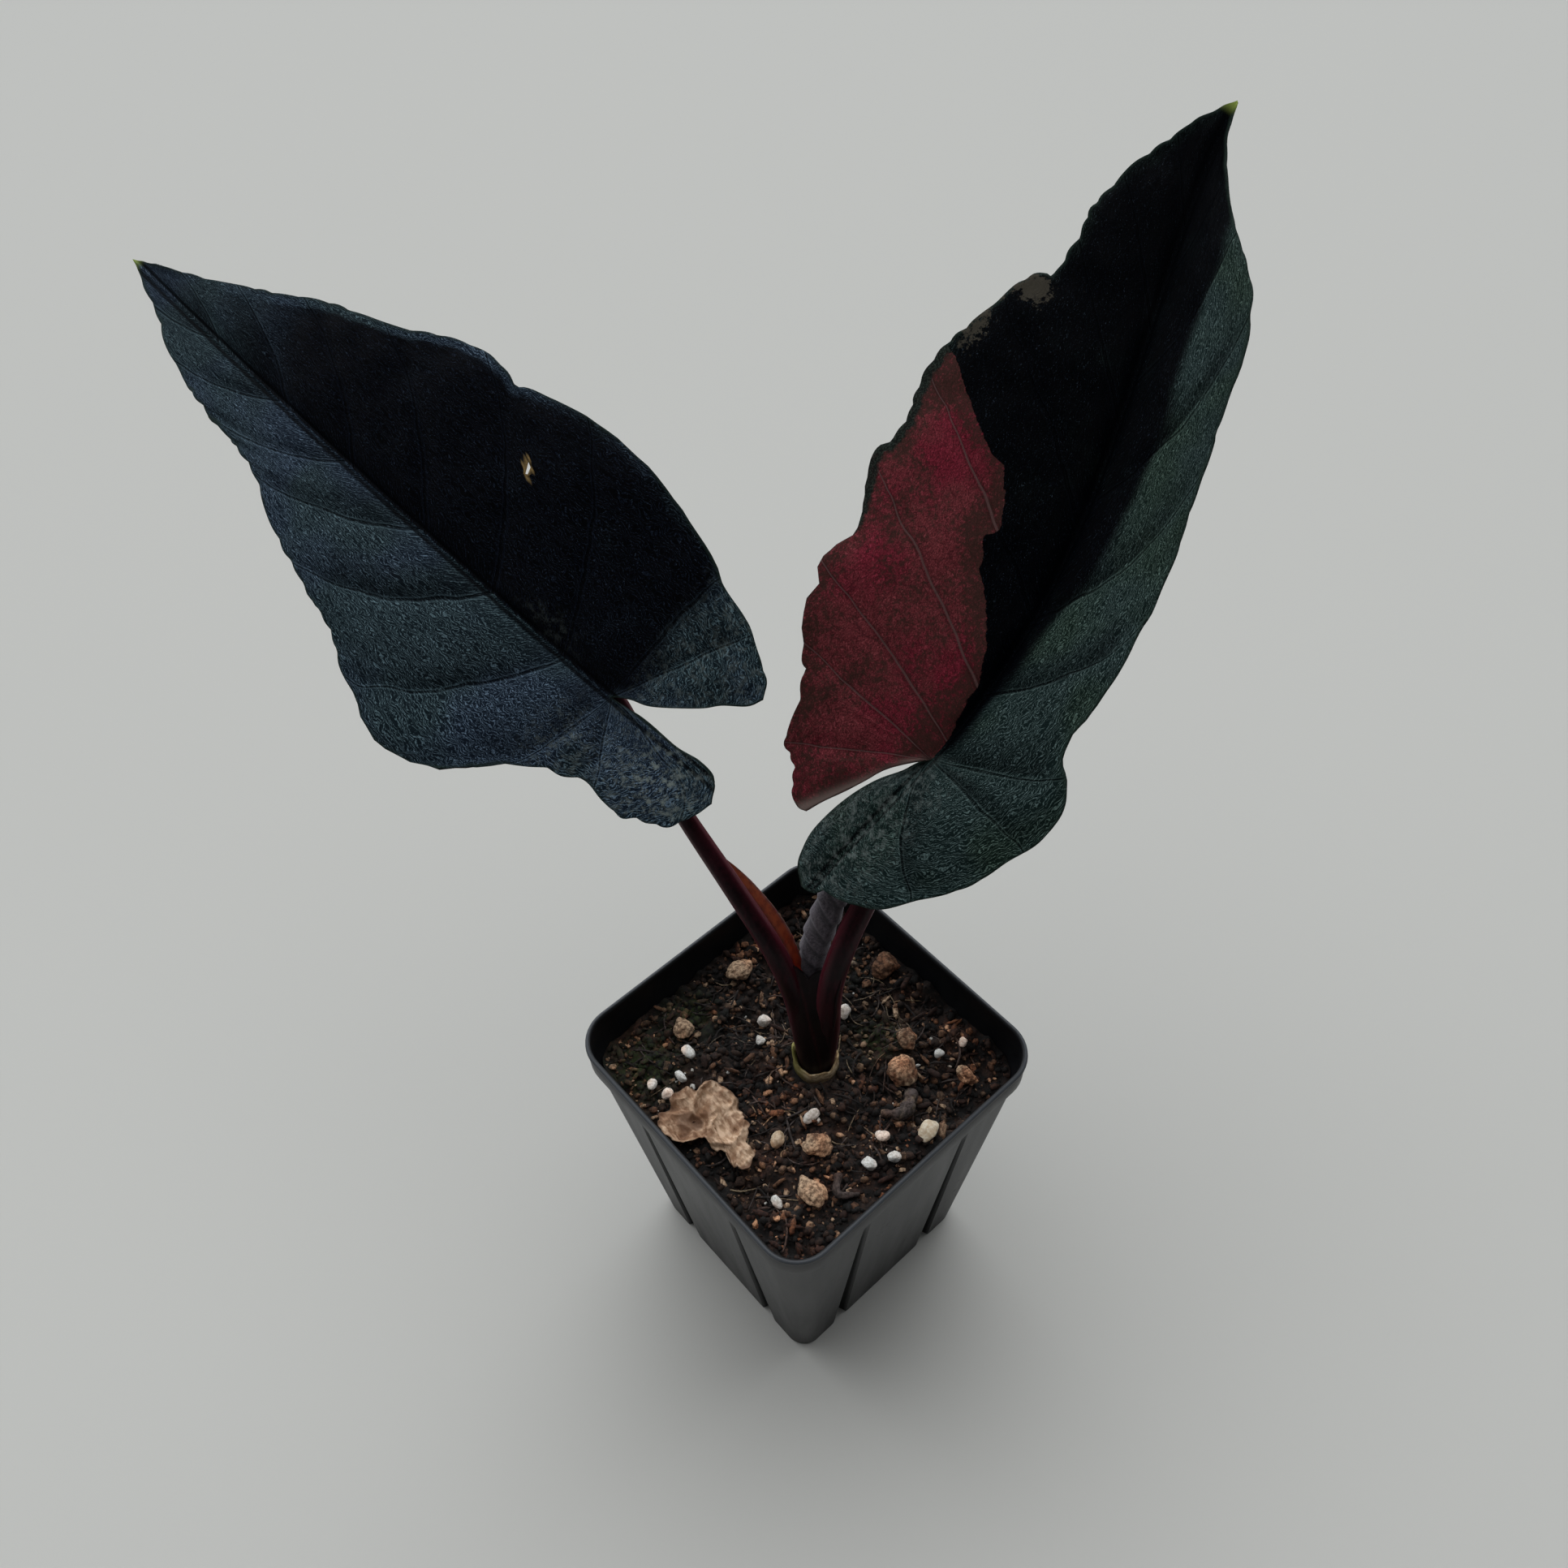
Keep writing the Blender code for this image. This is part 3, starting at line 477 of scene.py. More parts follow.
def make_piece(name, grids, finishes, nodes=(), wall=None):
    """Object of the grids with its finishes, on the root body, in place of CAD nodes.

    With a wall the grids are an open sheet that a modifier thickens by it, and without one they close.
    """
    piece = add_object(name, mesh_of(name, grids, closed=not wall))
    for one in finishes:
        piece.data.materials.append(one)
    if wall:
        shell = piece.modifiers.new("Wall", "SOLIDIFY")
        shell.thickness = wall * MM
        shell.offset = -1
        shell.material_offset = len(finishes) - 1
    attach(piece, "root")
    if nodes:
        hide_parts(*nodes)
    return piece


def make_single(name, points, values, finish, nodes=(), wall=None):
    """Piece of one array of grids in one finish."""
    return make_piece(name, [grid(points, values)], [finish], nodes, wall)


# Finishes


class Nodes:
    """Short words for wiring a node tree: each returns the output socket that it makes."""

    def __init__(self, tree):
        self.tree = tree

    def feed(self, socket, value):
        """Links an output to the socket, or sets the socket's own value."""
        if isinstance(value, bpy.types.NodeSocket):
            self.tree.links.new(value, socket)
        elif value is not None:
            socket.default_value = value

    def put(self, kind, sockets, out=0, **settings):
        node = self.tree.nodes.new("ShaderNode" + kind)
        for key, value in settings.items():
            setattr(node, key, value)
        for key, value in sockets.items():
            self.feed(node.inputs[key], value)
        return node.outputs[out]

    def maths(self, operation, a, b=None, c=None):
        return self.put("Math", {0: a, 1: b, 2: c}, operation=operation)

    def plus(self, a, b):
        return self.maths("ADD", a, b)

    def minus(self, a, b):
        return self.maths("SUBTRACT", a, b)

    def times(self, a, b):
        return self.maths("MULTIPLY", a, b)

    def fade(self, value, low, high, start=0.0, end=1.0):
        """From start to end, eased, while value goes from low to high."""
        sockets = {0: value, 1: low, 2: high, 3: start, 4: end}
        return self.put("MapRange", sockets, interpolation_type="SMOOTHSTEP")

    def mix(self, a, b, part, blend="MIX"):
        a, b = ((*c, 1) if isinstance(c, tuple) else c for c in (a, b))
        return self.put("Mix", {0: part, 6: a, 7: b}, out=2, data_type="RGBA", blend_type=blend)

    def tinted(self, colour, tint):
        return self.mix(colour, tint, 1.0, "MULTIPLY")

    def noise(self, vector, scale, detail=2.0, rough=0.5):
        return self.put("TexNoise", {"Vector": vector, "Scale": scale, "Detail": detail, "Roughness": rough})

    def stretched(self, vector, scale):
        return self.put("Mapping", {"Vector": vector, "Scale": scale})

    def moved(self, vector, step):
        return self.put("VectorMath", {0: vector, 1: step}, operation="ADD")

    def place(self):
        return self.put("TexCoord", {}, out="Object")

    def uv(self, name):
        return self.put("UVMap", {}, uv_map=name)

    def value(self, name):
        return self.put("Attribute", {}, out="Fac", attribute_name=name)

    def split(self, vector):
        first = self.put("SeparateXYZ", {0: vector})
        return first, first.node.outputs[1]

    def group(self, tree, out=0, **sockets):
        return self.put("Group", sockets, out, node_tree=tree)


def new_group(name, inputs, outputs):
    """Empty shader group with named sockets; inputs gives each one's value, or None for a vector."""
    tree = bpy.data.node_groups.new(name, "ShaderNodeTree")
    for key, value in inputs.items():
        kind = "NodeSocketVector" if value is None else "NodeSocketFloat"
        socket = tree.interface.new_socket(key, in_out="INPUT", socket_type=kind)
        if value is not None:
            socket.default_value = value
    for key in outputs:
        tree.interface.new_socket(key, in_out="OUTPUT", socket_type="NodeSocketFloat")
    source = tree.nodes.new("NodeGroupInput")
    sink = tree.nodes.new("NodeGroupOutput")
    return Nodes(tree), source.outputs, sink.inputs


def make_wrinkles_group():
    """Fine ridges of a pebbled blade, longer across the side veins, and longer off the midrib beside it.

    "Ribs" is millimetres from vein to vein and out along them, and "Midrib" the distance from the midrib.
    "Height" is a stretched noise, and "Lit" is its slope, from 0 where it falls to 1 where it rises; the
    blade finishes paint it into their colours as light on the rising slopes and shade on the falling ones.
    """
    n, source, sink = new_group("Blade wrinkles", {"Ribs": None, "Midrib": 0.0}, ["Lit", "Height"])
    sway = n.times(n.noise(source["Ribs"], 0.3, 3.0), 5.0)
    bent = n.moved(source["Ribs"], n.put("CombineXYZ", {1: sway}))
    by_midrib = n.fade(source["Midrib"], 2.0, 8.0)
    heights = []
    for step in ((0, 0, 0), (0.08, 0.17, 0)):
        there = n.moved(bent, step)
        crossing = n.noise(n.stretched(there, (0.8, 2.3, 1)), 1.0, 2.0, 0.6)
        leaving = n.noise(n.stretched(there, (2.3, 0.8, 1)), 1.0, 2.0, 0.6)
        heights.append(n.put("Mix", {0: by_midrib, 2: leaving, 3: crossing}, data_type="FLOAT"))
    n.feed(sink["Lit"], n.fade(n.minus(heights[1], heights[0]), 0.0, 0.13))
    n.feed(sink["Height"], heights[0])
    return n.tree


def make_vein_group():
    """Line along each whole number of "Phase", "Gap" millimetres apart, and the raised flanks beside it."""
    n, source, sink = new_group("Vein line", {"Phase": 0.0, "Gap": 10.0, "Width": 0.4}, ["Line", "Flank"])
    distance = n.times(n.maths("PINGPONG", source["Phase"], 0.5), source["Gap"])
    parts = n.maths("DIVIDE", distance, source["Width"])
    n.feed(sink["Line"], n.fade(parts, 0.5, 1.0, 1.0, 0.0))
    n.feed(sink["Flank"], n.fade(n.maths("ABSOLUTE", n.minus(parts, 1.6)), 0.0, 0.9, 1.0, 0.0))
    return n.tree


def make_speckle_group():
    """Grainy spots on "Place": more of them as "Amount" goes from 0 to 1, and finer as "Scale" grows."""
    sockets = {"Place": None, "Scale": 1.0, "Amount": 0.5, "Soft": 0.045}
    n, source, sink = new_group("Speckle", sockets, ["Spots"])
    grain = n.noise(source["Place"], source["Scale"], 6.0, 0.75)
    level = n.maths("MULTIPLY_ADD", source["Amount"], -0.44, 0.72)
    above = n.maths("DIVIDE", n.minus(grain, level), source["Soft"])
    n.feed(sink["Spots"], n.fade(above, -1.0, 1.0))
    return n.tree


def new_finish(name, make, bump_mm=0.1, **constants):
    """Material with the colour, roughness and height that make gives; constants go on the shader itself."""
    made = bpy.data.materials.new(name)
    made.use_nodes = True
    n = Nodes(made.node_tree)
    shader = made.node_tree.nodes["Principled BSDF"]
    colour, roughness, height = make(n)
    n.feed(shader.inputs["Base Color"], (*colour, 1) if isinstance(colour, tuple) else colour)
    n.feed(shader.inputs["Roughness"], roughness)
    if height is not None:
        bump = n.put("Bump", {"Height": height, "Distance": bump_mm * MM, "Strength": 1.0})
        n.feed(shader.inputs["Normal"], bump)
    for key, value in constants.items():
        shader.inputs[key.replace("_", " ")].default_value = value
    return made


wrinkles = make_wrinkles_group()
vein_line = make_vein_group()
speckle = make_speckle_group()


def blade_finish(name, valley, ridge, shine, sector):
    """Pebbled upper face: near-black valleys and paler ridges, each from dark to painted light, veins and a
    rim.

    The wrinkles carry painted light and shade and painted glints, the vein flanks a painted highlight, and
    the vein lines and the furrow beside the midrib painted shade.
    """

    def make(n):
        ribs = n.uv("ribs")
        place = n.place()
        phase, gap = n.split(n.uv("veins"))
        out, edge = n.split(n.uv("rims"))
        lit, height = (n.group(wrinkles, name, Ribs=ribs, Midrib=out) for name in ("Lit", "Height"))
        width = n.fade(edge, 0.0, 30.0, 0.2, 0.42)
        line, flank = (n.group(vein_line, name, Phase=phase, Gap=gap, Width=width)
                       for name in ("Line", "Flank"))
        midrib_furrow_shade = n.fade(n.maths("ABSOLUTE", n.minus(out, 0.95)), 0.2, 0.65, 1.0, 0.0)
        patches = n.noise(place, 60.0, 4.0, 0.6)
        # Painted light: the "light" value, broken by random patches, takes valleys and ridges from unlit to
        # lit colours
        tone = n.fade(n.plus(n.value("light"), n.times(n.minus(patches, 0.5), 0.9)), 0.0, 1.0)
        tint = n.fade(n.noise(place, 38.0, 2.0), 0.4, 0.62)
        ground, raised = (n.mix(n.mix(dark, one, tone), n.mix(dark, other, tone), tint)
                          for dark, one, other in (valley, ridge))
        grain = n.fade(n.noise(place, 3200.0, 2.0, 0.6), 0.35, 0.7)
        # Painted relief light: the ridge colour where the wrinkles rise, and painted glints where they rise
        # most
        ground = n.mix(ground, raised, n.times(lit, n.fade(grain, 0.0, 1.0, 0.45, 1.0)))
        glints = n.times(n.fade(lit, 0.8, 1.0), n.fade(grain, 0.6, 0.95))
        ground = n.mix(ground, n.mix(raised, BLADE_GLINT, 1.0, "ADD"), glints)
        # Painted highlight on the vein flanks; painted shade in the vein lines and the furrow beside the
        # midrib
        ground = n.mix(ground, raised, n.times(flank, 0.25))
        ground = n.mix(ground, valley[0], n.maths("MAXIMUM", n.times(line, 0.55), n.times(midrib_furrow_shade, 0.85)))
        chalk = n.times(n.value("chalk"), n.fade(n.noise(place, 520.0, 5.0, 0.75), 0.47, 0.66))
        ground = n.mix(ground, BLADE_CHALK, chalk)
        ragged = n.plus(edge, n.times(patches, 1.2))
        ground = n.mix(ground, BLADE_RIM, n.fade(ragged, 0.6, 1.5, 0.8, 0.0))
        pale = n.group(speckle, Place=place, Scale=700.0, Amount=n.value("pale"))
        ground = n.mix(ground, BLADE_SPECKS, pale)
        if sector:
            ground = pink_sector(n, ground, place, ribs, edge, lit, line, flank)
            height = n.times(height, n.fade(n.value("sector"), -0.5, 0.5, 1.0, 0.8))
        ground = n.mix(ground, TIP_GREEN, n.value("tip"))
        ground = n.mix(ground, SCORCHED, n.value("scorch"))
        height = n.minus(n.plus(height, n.times(n.noise(place, 2400.0, 2.0), 0.4)), line)
        return ground, n.fade(lit, 0.0, 1.0, 0.6, 0.45), height

    return new_finish(name, make, bump_mm=0.2, Specular_IOR_Level=shine)


def pink_sector(n, ground, place, ribs, edge, lit, line, flank):
    """Pink part of a blade: clouded and finely speckled with brown, netted with dark red, with pale veins.

    Its wrinkles carry painted light and shade.
    """
    inside = n.value("sector")
    ragged = n.times(n.minus(n.noise(place, 420.0, 4.0, 0.7), 0.5), 2.2)
    part = n.fade(n.plus(inside, ragged), -0.12, 0.12)
    blush = n.noise(place, 55.0, 3.0, 0.55)
    pink = n.mix(*PINKS, n.fade(blush, 0.46, 0.66))
    dusty = n.noise(place, 2600.0, 3.0, 0.7)
    pink = n.mix(n.tinted(pink, PINK_DUST), pink, n.fade(dusty, 0.38, 0.6))
    # Painted shade and painted light by the slope of the wrinkles
    pink = n.mix(*(n.tinted(pink, tint) for tint in PINK_SHADED_AND_LIT), lit)
    bent = n.moved(ribs, n.noise(ribs, 0.35, 2.0))
    for scale, width, weight in ((0.34, 0.045, 0.5), (0.95, 0.07, 0.35)):
        net = n.put("TexVoronoi", {"Vector": bent, "Scale": scale}, feature="DISTANCE_TO_EDGE")
        pink = n.mix(pink, RED_NET, n.fade(net, 0.0, width, weight, 0.0))
    border = n.fade(inside, 0.0, 8.0, 0.8, 0.34)
    by_margin = n.fade(edge, 0.0, 7.0, 0.25, 0.0)
    clouds = n.times(n.minus(n.noise(place, 90.0, 3.0, 0.6), 0.5), 1.3)
    amount = n.plus(n.plus(border, by_margin), n.times(n.value("brown"), 0.5))
    amount = n.maths("MINIMUM", n.plus(amount, clouds), 0.7)
    spots = n.group(speckle, Place=place, Scale=850.0, Amount=amount, Soft=0.1)
    for colour, part_of_it in ((BROWN_SPOTS, n.times(spots, 0.8)), (WHITE_EDGE, n.value("white")),
                               (PINK_FLANKS, n.times(flank, 0.4)), (PINK_VEINS, n.times(line, 0.8))):
        pink = n.mix(pink, colour, part_of_it)
    scaly = n.plus(edge, n.times(n.noise(place, 800.0, 3.0, 0.7), 2.4))
    scaly = n.fade(n.minus(scaly, n.value("rim")), 0.7, 1.6, 0.94, 0.0)
    scales = n.mix(*DARK_SCALES, n.fade(dusty, 0.45, 0.65))
    return n.mix(ground, n.mix(pink, scales, scaly), part)


def under_finish():
    """Underside: mottled maroon and grey green, its veins raised and redder, with a dark green rim."""

    def make(n):
        place = n.place()
        phase, gap = n.split(n.uv("veins"))
        out, edge = n.split(n.uv("rims"))
        line = n.group(vein_line, Phase=phase, Gap=gap, Width=0.7)
        mottle = n.noise(place, 60.0, 3.0)
        ground = n.mix((0.03, 0.016, 0.02), (0.035, 0.04, 0.03), n.fade(mottle, 0.35, 0.65))
        ground = n.mix(ground, (0.06, 0.018, 0.026), line)
        ground = n.mix(ground, (0.02, 0.03, 0.022), n.fade(edge, 0.2, 1.8, 0.8, 0.0))
        wrinkle = n.group(wrinkles, "Height", Ribs=n.uv("ribs"), Midrib=out)
        return ground, 0.5, n.minus(line, n.times(wrinkle, 0.6))

    return new_finish("Blade underside", make, bump_mm=0.25)


def fleshy_finish(name, low, high, lit_edge_tint, roughness=0.4):
    """Smooth stalk skin: streaks along it, fine flecks, painted light on its edges, and a thin bloom that
    shows at grazing angles.
    """

    def make(n):
        place = n.place()
        streaks = n.noise(n.stretched(place, (1, 1, 0.12)), 900.0, 2.0)
        clouds = n.noise(place, 90.0, 2.0)
        both = n.plus(n.times(streaks, 0.5), n.times(clouds, 0.5))
        ground = n.mix(low, high, n.fade(both, 0.38, 0.62))
        # Painted light on the edges that "edge_light" marks
        ground = n.mix(ground, lit_edge_tint, n.times(n.value("edge_light"), 0.8))
        flecks = n.group(speckle, Place=place, Scale=1800.0, Amount=0.25)
        ground = n.mix(ground, n.tinted(ground, (1.9, 1.6, 1.6)), flecks)
        return ground, n.fade(clouds, 0.3, 0.7, roughness - 0.06, roughness + 0.1), streaks

    return new_finish(name, make, bump_mm=0.06, Specular_IOR_Level=0.1, Sheen_Weight=0.03,
                      Sheen_Roughness=0.4, Sheen_Tint=(0.9, 0.6, 0.65, 1))


def membrane_finish():
    """Thin sheath wing: orange red and translucent in its middle, grey at its free rim, dark at its root."""

    def make(n):
        across = n.value("across")
        place = n.place()
        streaks = n.noise(n.stretched(place, (1, 1, 0.15)), 800.0, 2.0)
        ground = n.mix((0.03, 0.007, 0.008), (0.17, 0.045, 0.012), n.fade(across, 0.05, 0.45))
        ground = n.mix(ground, (0.09, 0.06, 0.055), n.fade(across, 0.75, 0.98))
        ground = n.mix(ground, n.tinted(ground, (0.6, 0.5, 0.5)), n.fade(streaks, 0.4, 0.65))
        return ground, 0.42, streaks

    return new_finish("Sheath membrane", make, bump_mm=0.05, Subsurface_Weight=0.25,
                      Subsurface_Radius=(1.0, 0.3, 0.1), Subsurface_Scale=0.002)


def felt_finish():
    """Felted new leaf: grey purple with painted shade in the creases at its folds and a pale nap."""

    def make(n):
        place = n.place()
        nap = n.noise(place, 1500.0, 4.0, 0.75)
        clouds = n.noise(place, 160.0, 2.0)
        ground = n.mix((0.024, 0.018, 0.025), (0.1, 0.083, 0.097), n.fade(nap, 0.35, 0.65))
        # Painted shade in the creases of the folds
        ground = n.mix(ground, (0.008, 0.006, 0.009), n.times(n.value("crease_shade"), 0.9))
        ground = n.mix(ground, (0.11, 0.095, 0.1), n.fade(clouds, 0.55, 0.75, 0.0, 0.3))
        return ground, 0.85, nap

    return new_finish("Felted new leaf", make, bump_mm=0.15, Sheen_Weight=0.35,
                      Sheen_Roughness=0.5, Sheen_Tint=(0.85, 0.8, 0.9, 1))


def plastic_finish():
    """Black nursery pot: satin, streaked down its sides and dusty, with a painted highlight along its lip,
    and painted shade inside, in its grooves and toward its foot.
    """

    def make(n):
        place = n.place()
        drawn = n.noise(n.stretched(place, (1, 1, 0.06)), 160.0, 3.0)
        grain = n.noise(place, 2200.0, 2.0)
        dusty = n.fade(n.noise(place, 28.0, 2.0), 0.3, 0.8, 0.02, 0.3)
        dust = n.group(speckle, Place=place, Scale=420.0, Amount=dusty)
        ground = n.mix((0.037, 0.0377, 0.039), (0.053, 0.0545, 0.0565), n.fade(drawn, 0.35, 0.65))
        ground = n.mix(ground, (0.075, 0.07, 0.064), n.times(dust, 0.5))
        # Painted highlight along the lip
        ground = n.mix(ground, (0.07, 0.078, 0.092), n.times(n.value("lip"), 0.6))
        # Painted shade inside the pot and in its grooves
        ground = n.mix(ground, (0.004, 0.0045, 0.006), n.times(n.value("inside"), 0.93))
        ground = n.mix(ground, (0.003, 0.003, 0.004), n.fade(n.value("groove"), 0.12, 0.55, 0.0, 0.93))
        # Painted shadow at the foot: the colour darkens toward the bottom
        height = n.put("SeparateXYZ", {0: place}, out=2)
        ground = n.mix((0.0, 0.0, 0.0), ground, n.fade(height, -0.005, 0.075, 0.04, 1.0))
        rough = n.plus(n.fade(drawn, 0.3, 0.7, 0.4, 0.5), n.times(dust, 0.2))
        rough = n.plus(rough, n.fade(n.value("groove"), 0.12, 0.55, 0.0, 0.45))
        return ground, rough, n.plus(n.times(grain, 0.6), drawn)

    return new_finish("Black pot plastic", make, bump_mm=0.05, Specular_IOR_Level=0.28)


def crumb_finish(name, tones, roughness=0.9, bump_mm=0.25, scale=1100.0, pores=DARK_PORES):
    """Loose matter: "shade" chooses between three tones, with grain, pores, warm patches and moss."""
    dark, middle, pale = tones

    def make(n):
        place = n.place()
        grain = n.noise(place, scale, 4.0, 0.65)
        patchy = n.plus(n.noise(place, 420.0, 3.0, 0.6), n.noise(place, 60.0, 2.0, 0.5))
        patchy = n.times(n.minus(patchy, 1.0), 0.9)
        shade = n.plus(n.value("shade"), patchy)
        ground = n.mix(dark, middle, n.fade(shade, 0.0, 0.6))
        ground = n.mix(ground, pale, n.fade(shade, 0.6, 1.0))
        ground = n.mix(n.tinted(ground, pores), ground, n.fade(grain, 0.38, 0.6))
        ground = n.mix(ground, n.tinted(ground, WARM_TINT), n.fade(n.noise(place, 75.0, 2.0), 0.45, 0.65))
        moss = n.times(n.value("moss"), n.fade(n.noise(place, 600.0, 4.0, 0.7), 0.42, 0.58))
        return n.mix(ground, MOSS_GREEN, moss), roughness, grain

    return new_finish(name, make, bump_mm=bump_mm)


def dry_finish(name, dark, pale, edge):
    """Dead leaf or sheath: papery, blotched, with fine veins and darker torn edges given by "edge_dark",
    which on the dead leaf also paints shade in its fold valleys.
    """

    def make(n):
        place = n.place()
        blotch = n.noise(place, 190.0, 4.0, 0.6)
        veins = n.noise(n.stretched(place, (1, 0.35, 1)), 900.0, 3.0)
        ground = n.mix(dark, pale, n.fade(blotch, 0.36, 0.6))
        ground = n.mix(n.tinted(ground, (0.6, 0.52, 0.45)), ground, n.fade(veins, 0.4, 0.6))
        ground = n.mix(ground, edge, n.fade(n.value("edge_dark"), 0.2, 1.0, 0.0, 0.9))
        return ground, 0.75, n.plus(blotch, veins)

    return new_finish(name, make, bump_mm=0.25)


# Blades


def blade_frame(blade):
    """The stalk's end, the directions of the midrib, the left half and the upper face, and the length."""
    start = np.array(blade["stalk_end"], float)
    along = np.array(blade["tip"], float) - start
    length = np.linalg.norm(along)
    along /= length
    face = np.array(blade["face"], float)
    face = unit(face - along * (face @ along))
    return start, along, np.cross(face, along), face, length


def blade_points(blade, side, along, out, relief=0.0):
    """Places one half's points: out from a bowed midrib, lifted by the fold, sag, arch and relief.

    With x the part of the midrib's length, it bows aside as x (1 - x) squared and arches as x (1 - x).
    """
    start, forward, leftward, upward, length = blade_frame(blade)
    part = along / length
    hand = 1 if side == "left" else -1
    midrib = BOW_SCALE * blade["bow"] * part * np.where(part > 0, (1 - part) ** 2, 1)
    ease = smooth_step((along + FOLD_FADE) / (2 * FOLD_FADE))
    kept = blade[side]["lobe_fold"]
    fold = np.tan(np.radians(blade["fold"])) * (kept + (1 - kept) * ease)
    lift = fold * out - blade["sag"] * out * np.abs(out) + 4 * blade["arch"] * part * (1 - part) + relief
    across = midrib + hand * out
    return start + along[..., None] * forward + across[..., None] * leftward + lift[..., None] * upward


def rim_line(half):
    """Margin, and how far each place on it moves: arches of |sin| that meet in cusps, and narrow tears."""
    line = curve_through(half["margin"], 900)
    gone = run_length(line)
    outward = unit(np.gradient(line, axis=0)) @ np.array([[0, -1], [1, 0]])
    pitch, depth = half["scallop"]
    phase = gone / pitch + 0.35 * np.sin(gone / 8.3) + 0.2 * np.sin(gone / 3.7 + 1)
    window = smooth_step(gone / 25) * smooth_step((gone[-1] - gone) / 8)
    push = depth * (1.6 * np.abs(np.sin(np.pi * phase)) - 1.0) * window
    for place, cut, width in half["tears"]:
        there = gone[np.argmin(np.hypot(*(line - place).T))]
        push -= cut * np.exp(-np.abs(gone - there) / width)
    return line, outward * push[:, None]


def blade_half(half):
    """Grid of one half: ribs bend forward from midrib to margin, and fan from the stalk over the lobe.

    The first of BLADE_ROWS leave the midrib, at places that both halves share. With v the part of the way
    out, along runs as v - b v (1 - v) and out as v + c v (1 - v), so a rib leaves the midrib steeply and
    ends close to the margin's own direction. The last rib is the sinus edge.
    """
    rim, shift = rim_line(half)
    ends = np.array([end for _, end in half["veins"]], float)
    reached = np.argmin(np.linalg.norm(rim - ends[:, None], axis=-1), axis=1) / (len(rim) - 1)
    starts = np.array([float(begin) for begin, _ in half["veins"]])
    spine_end = reached[starts == 0][0]
    spine = np.linspace(starts[0], 0, BLADE_ROWS[0])
    t = np.interp(-spine, -starts[: np.argmin(starts) + 1], reached[: np.argmin(starts) + 1])
    t = np.concatenate([t, np.linspace(spine_end, 1, BLADE_ROWS[1] + 1)[1:]])
    v = np.linspace(0, 1, BLADE_COLUMNS) ** 1.3
    sampled = np.linspace(0, 1, len(rim))
    margin = read_off(rim, sampled, t)
    moved = read_off(shift, sampled, t)
    start = np.concatenate([spine, np.zeros(BLADE_ROWS[1])])
    bend = half["bend"] * (1 - smooth_step((t - spine_end) / 0.1))
    curve = v * (1 - v)
    reach = margin[:, 0] - start
    along = start[:, None] + reach[:, None] * (v - 0.34 * bend[:, None] * curve)
    out = margin[:, 1][:, None] * (v + (0.15 + 0.5 * bend)[:, None] * curve)
    sinus = curve_through(half["sinus"], BLADE_COLUMNS)
    turn = smooth_step((t - spine_end) / (1 - spine_end)) ** 2
    along += turn[:, None] * (sinus[:, 0] - v * sinus[-1, 0])
    out += turn[:, None] * (sinus[:, 1] - v * sinus[-1, 1] - 0.15 * sinus[-1, 1] * curve)
    near_rim = smooth_step((v - 0.7) / 0.3)
    along += moved[:, :1] * near_rim
    out += moved[:, 1:] * near_rim
    phase = np.interp(t, reached, np.arange(len(starts)))[:, None] + 0 * v
    return along, out, phase, rim + shift, sinus


def nearest(flat, line):
    """Distance from each point to the nearest point of a line."""
    return np.sqrt(((flat[:, :, None] - line) ** 2).sum(-1).min(-1))


def blade_fields(blade, side):
    """Points of one half and what its finish needs: places over the ribs, vein phase and gap, distances."""
    along, out, phase, rim, sinus = blade_half(blade[side])
    flat = joined(along, out)
    depth = np.full(along.shape, 9.0)
    if "hole" in blade[side]:
        flat, depth = open_hole(flat, blade[side]["hole"])
        along, out = flat[..., 0], flat[..., 1]
    over = np.gradient(flat, axis=0)
    down = np.gradient(flat, axis=1)
    per_vein = over / np.maximum(np.gradient(phase, axis=0), 1e-6)[..., None]
    crossing = np.abs(per_vein[..., 0] * down[..., 1] - per_vein[..., 1] * down[..., 0])
    gap = crossing / np.maximum(np.linalg.norm(down, axis=-1), 1e-6)
    middle_way = flat[:, int(0.6 * BLADE_COLUMNS)]
    ribs = joined(run_length(middle_way)[:, None] + 0 * out, run_length(flat, axis=1))
    edge = nearest(flat, np.concatenate([rim[::3], sinus]))
    vein_distance = np.abs(phase - np.round(phase)) * gap
    relief = blade_relief(blade[side], flat, edge, vein_distance, gap, ribs, sinus)
    points = blade_points(blade, side, along, out, relief)
    drift = 0.03 * lattice_noise(flat, 9, 6) + 0.012 * lattice_noise(flat, 3, 7)
    maps = {"ribs": ribs, "veins": joined(phase + drift, gap), "rims": joined(np.abs(out), edge)}
    return points, maps, flat, edge, phase, depth


def open_hole(flat, hole):
    """Pushes points in a leaning, ragged oval out to its edge; also gives each one's distance, 1 there."""
    lean = np.radians(hole["lean"])
    turn = np.array([[np.cos(lean), -np.sin(lean)], [np.sin(lean), np.cos(lean)]])
    away = (flat - hole["place"]) @ turn
    away[..., 1] += HOLE_WAVE * np.sin(away[..., 0] * HOLE_TURN)
    ragged = 1 + 0.3 * lattice_noise(flat, 0.8, 5)
    depth = np.hypot(away[..., 0] / hole["length"], away[..., 1] / hole["width"]) / ragged
    pushed = away / np.maximum(depth, 0.05)[..., None]
    pushed[..., 1] -= HOLE_WAVE * np.sin(pushed[..., 0] * HOLE_TURN)
    return np.where(depth[..., None] < 1, pushed @ turn.T + hole["place"], flat), depth


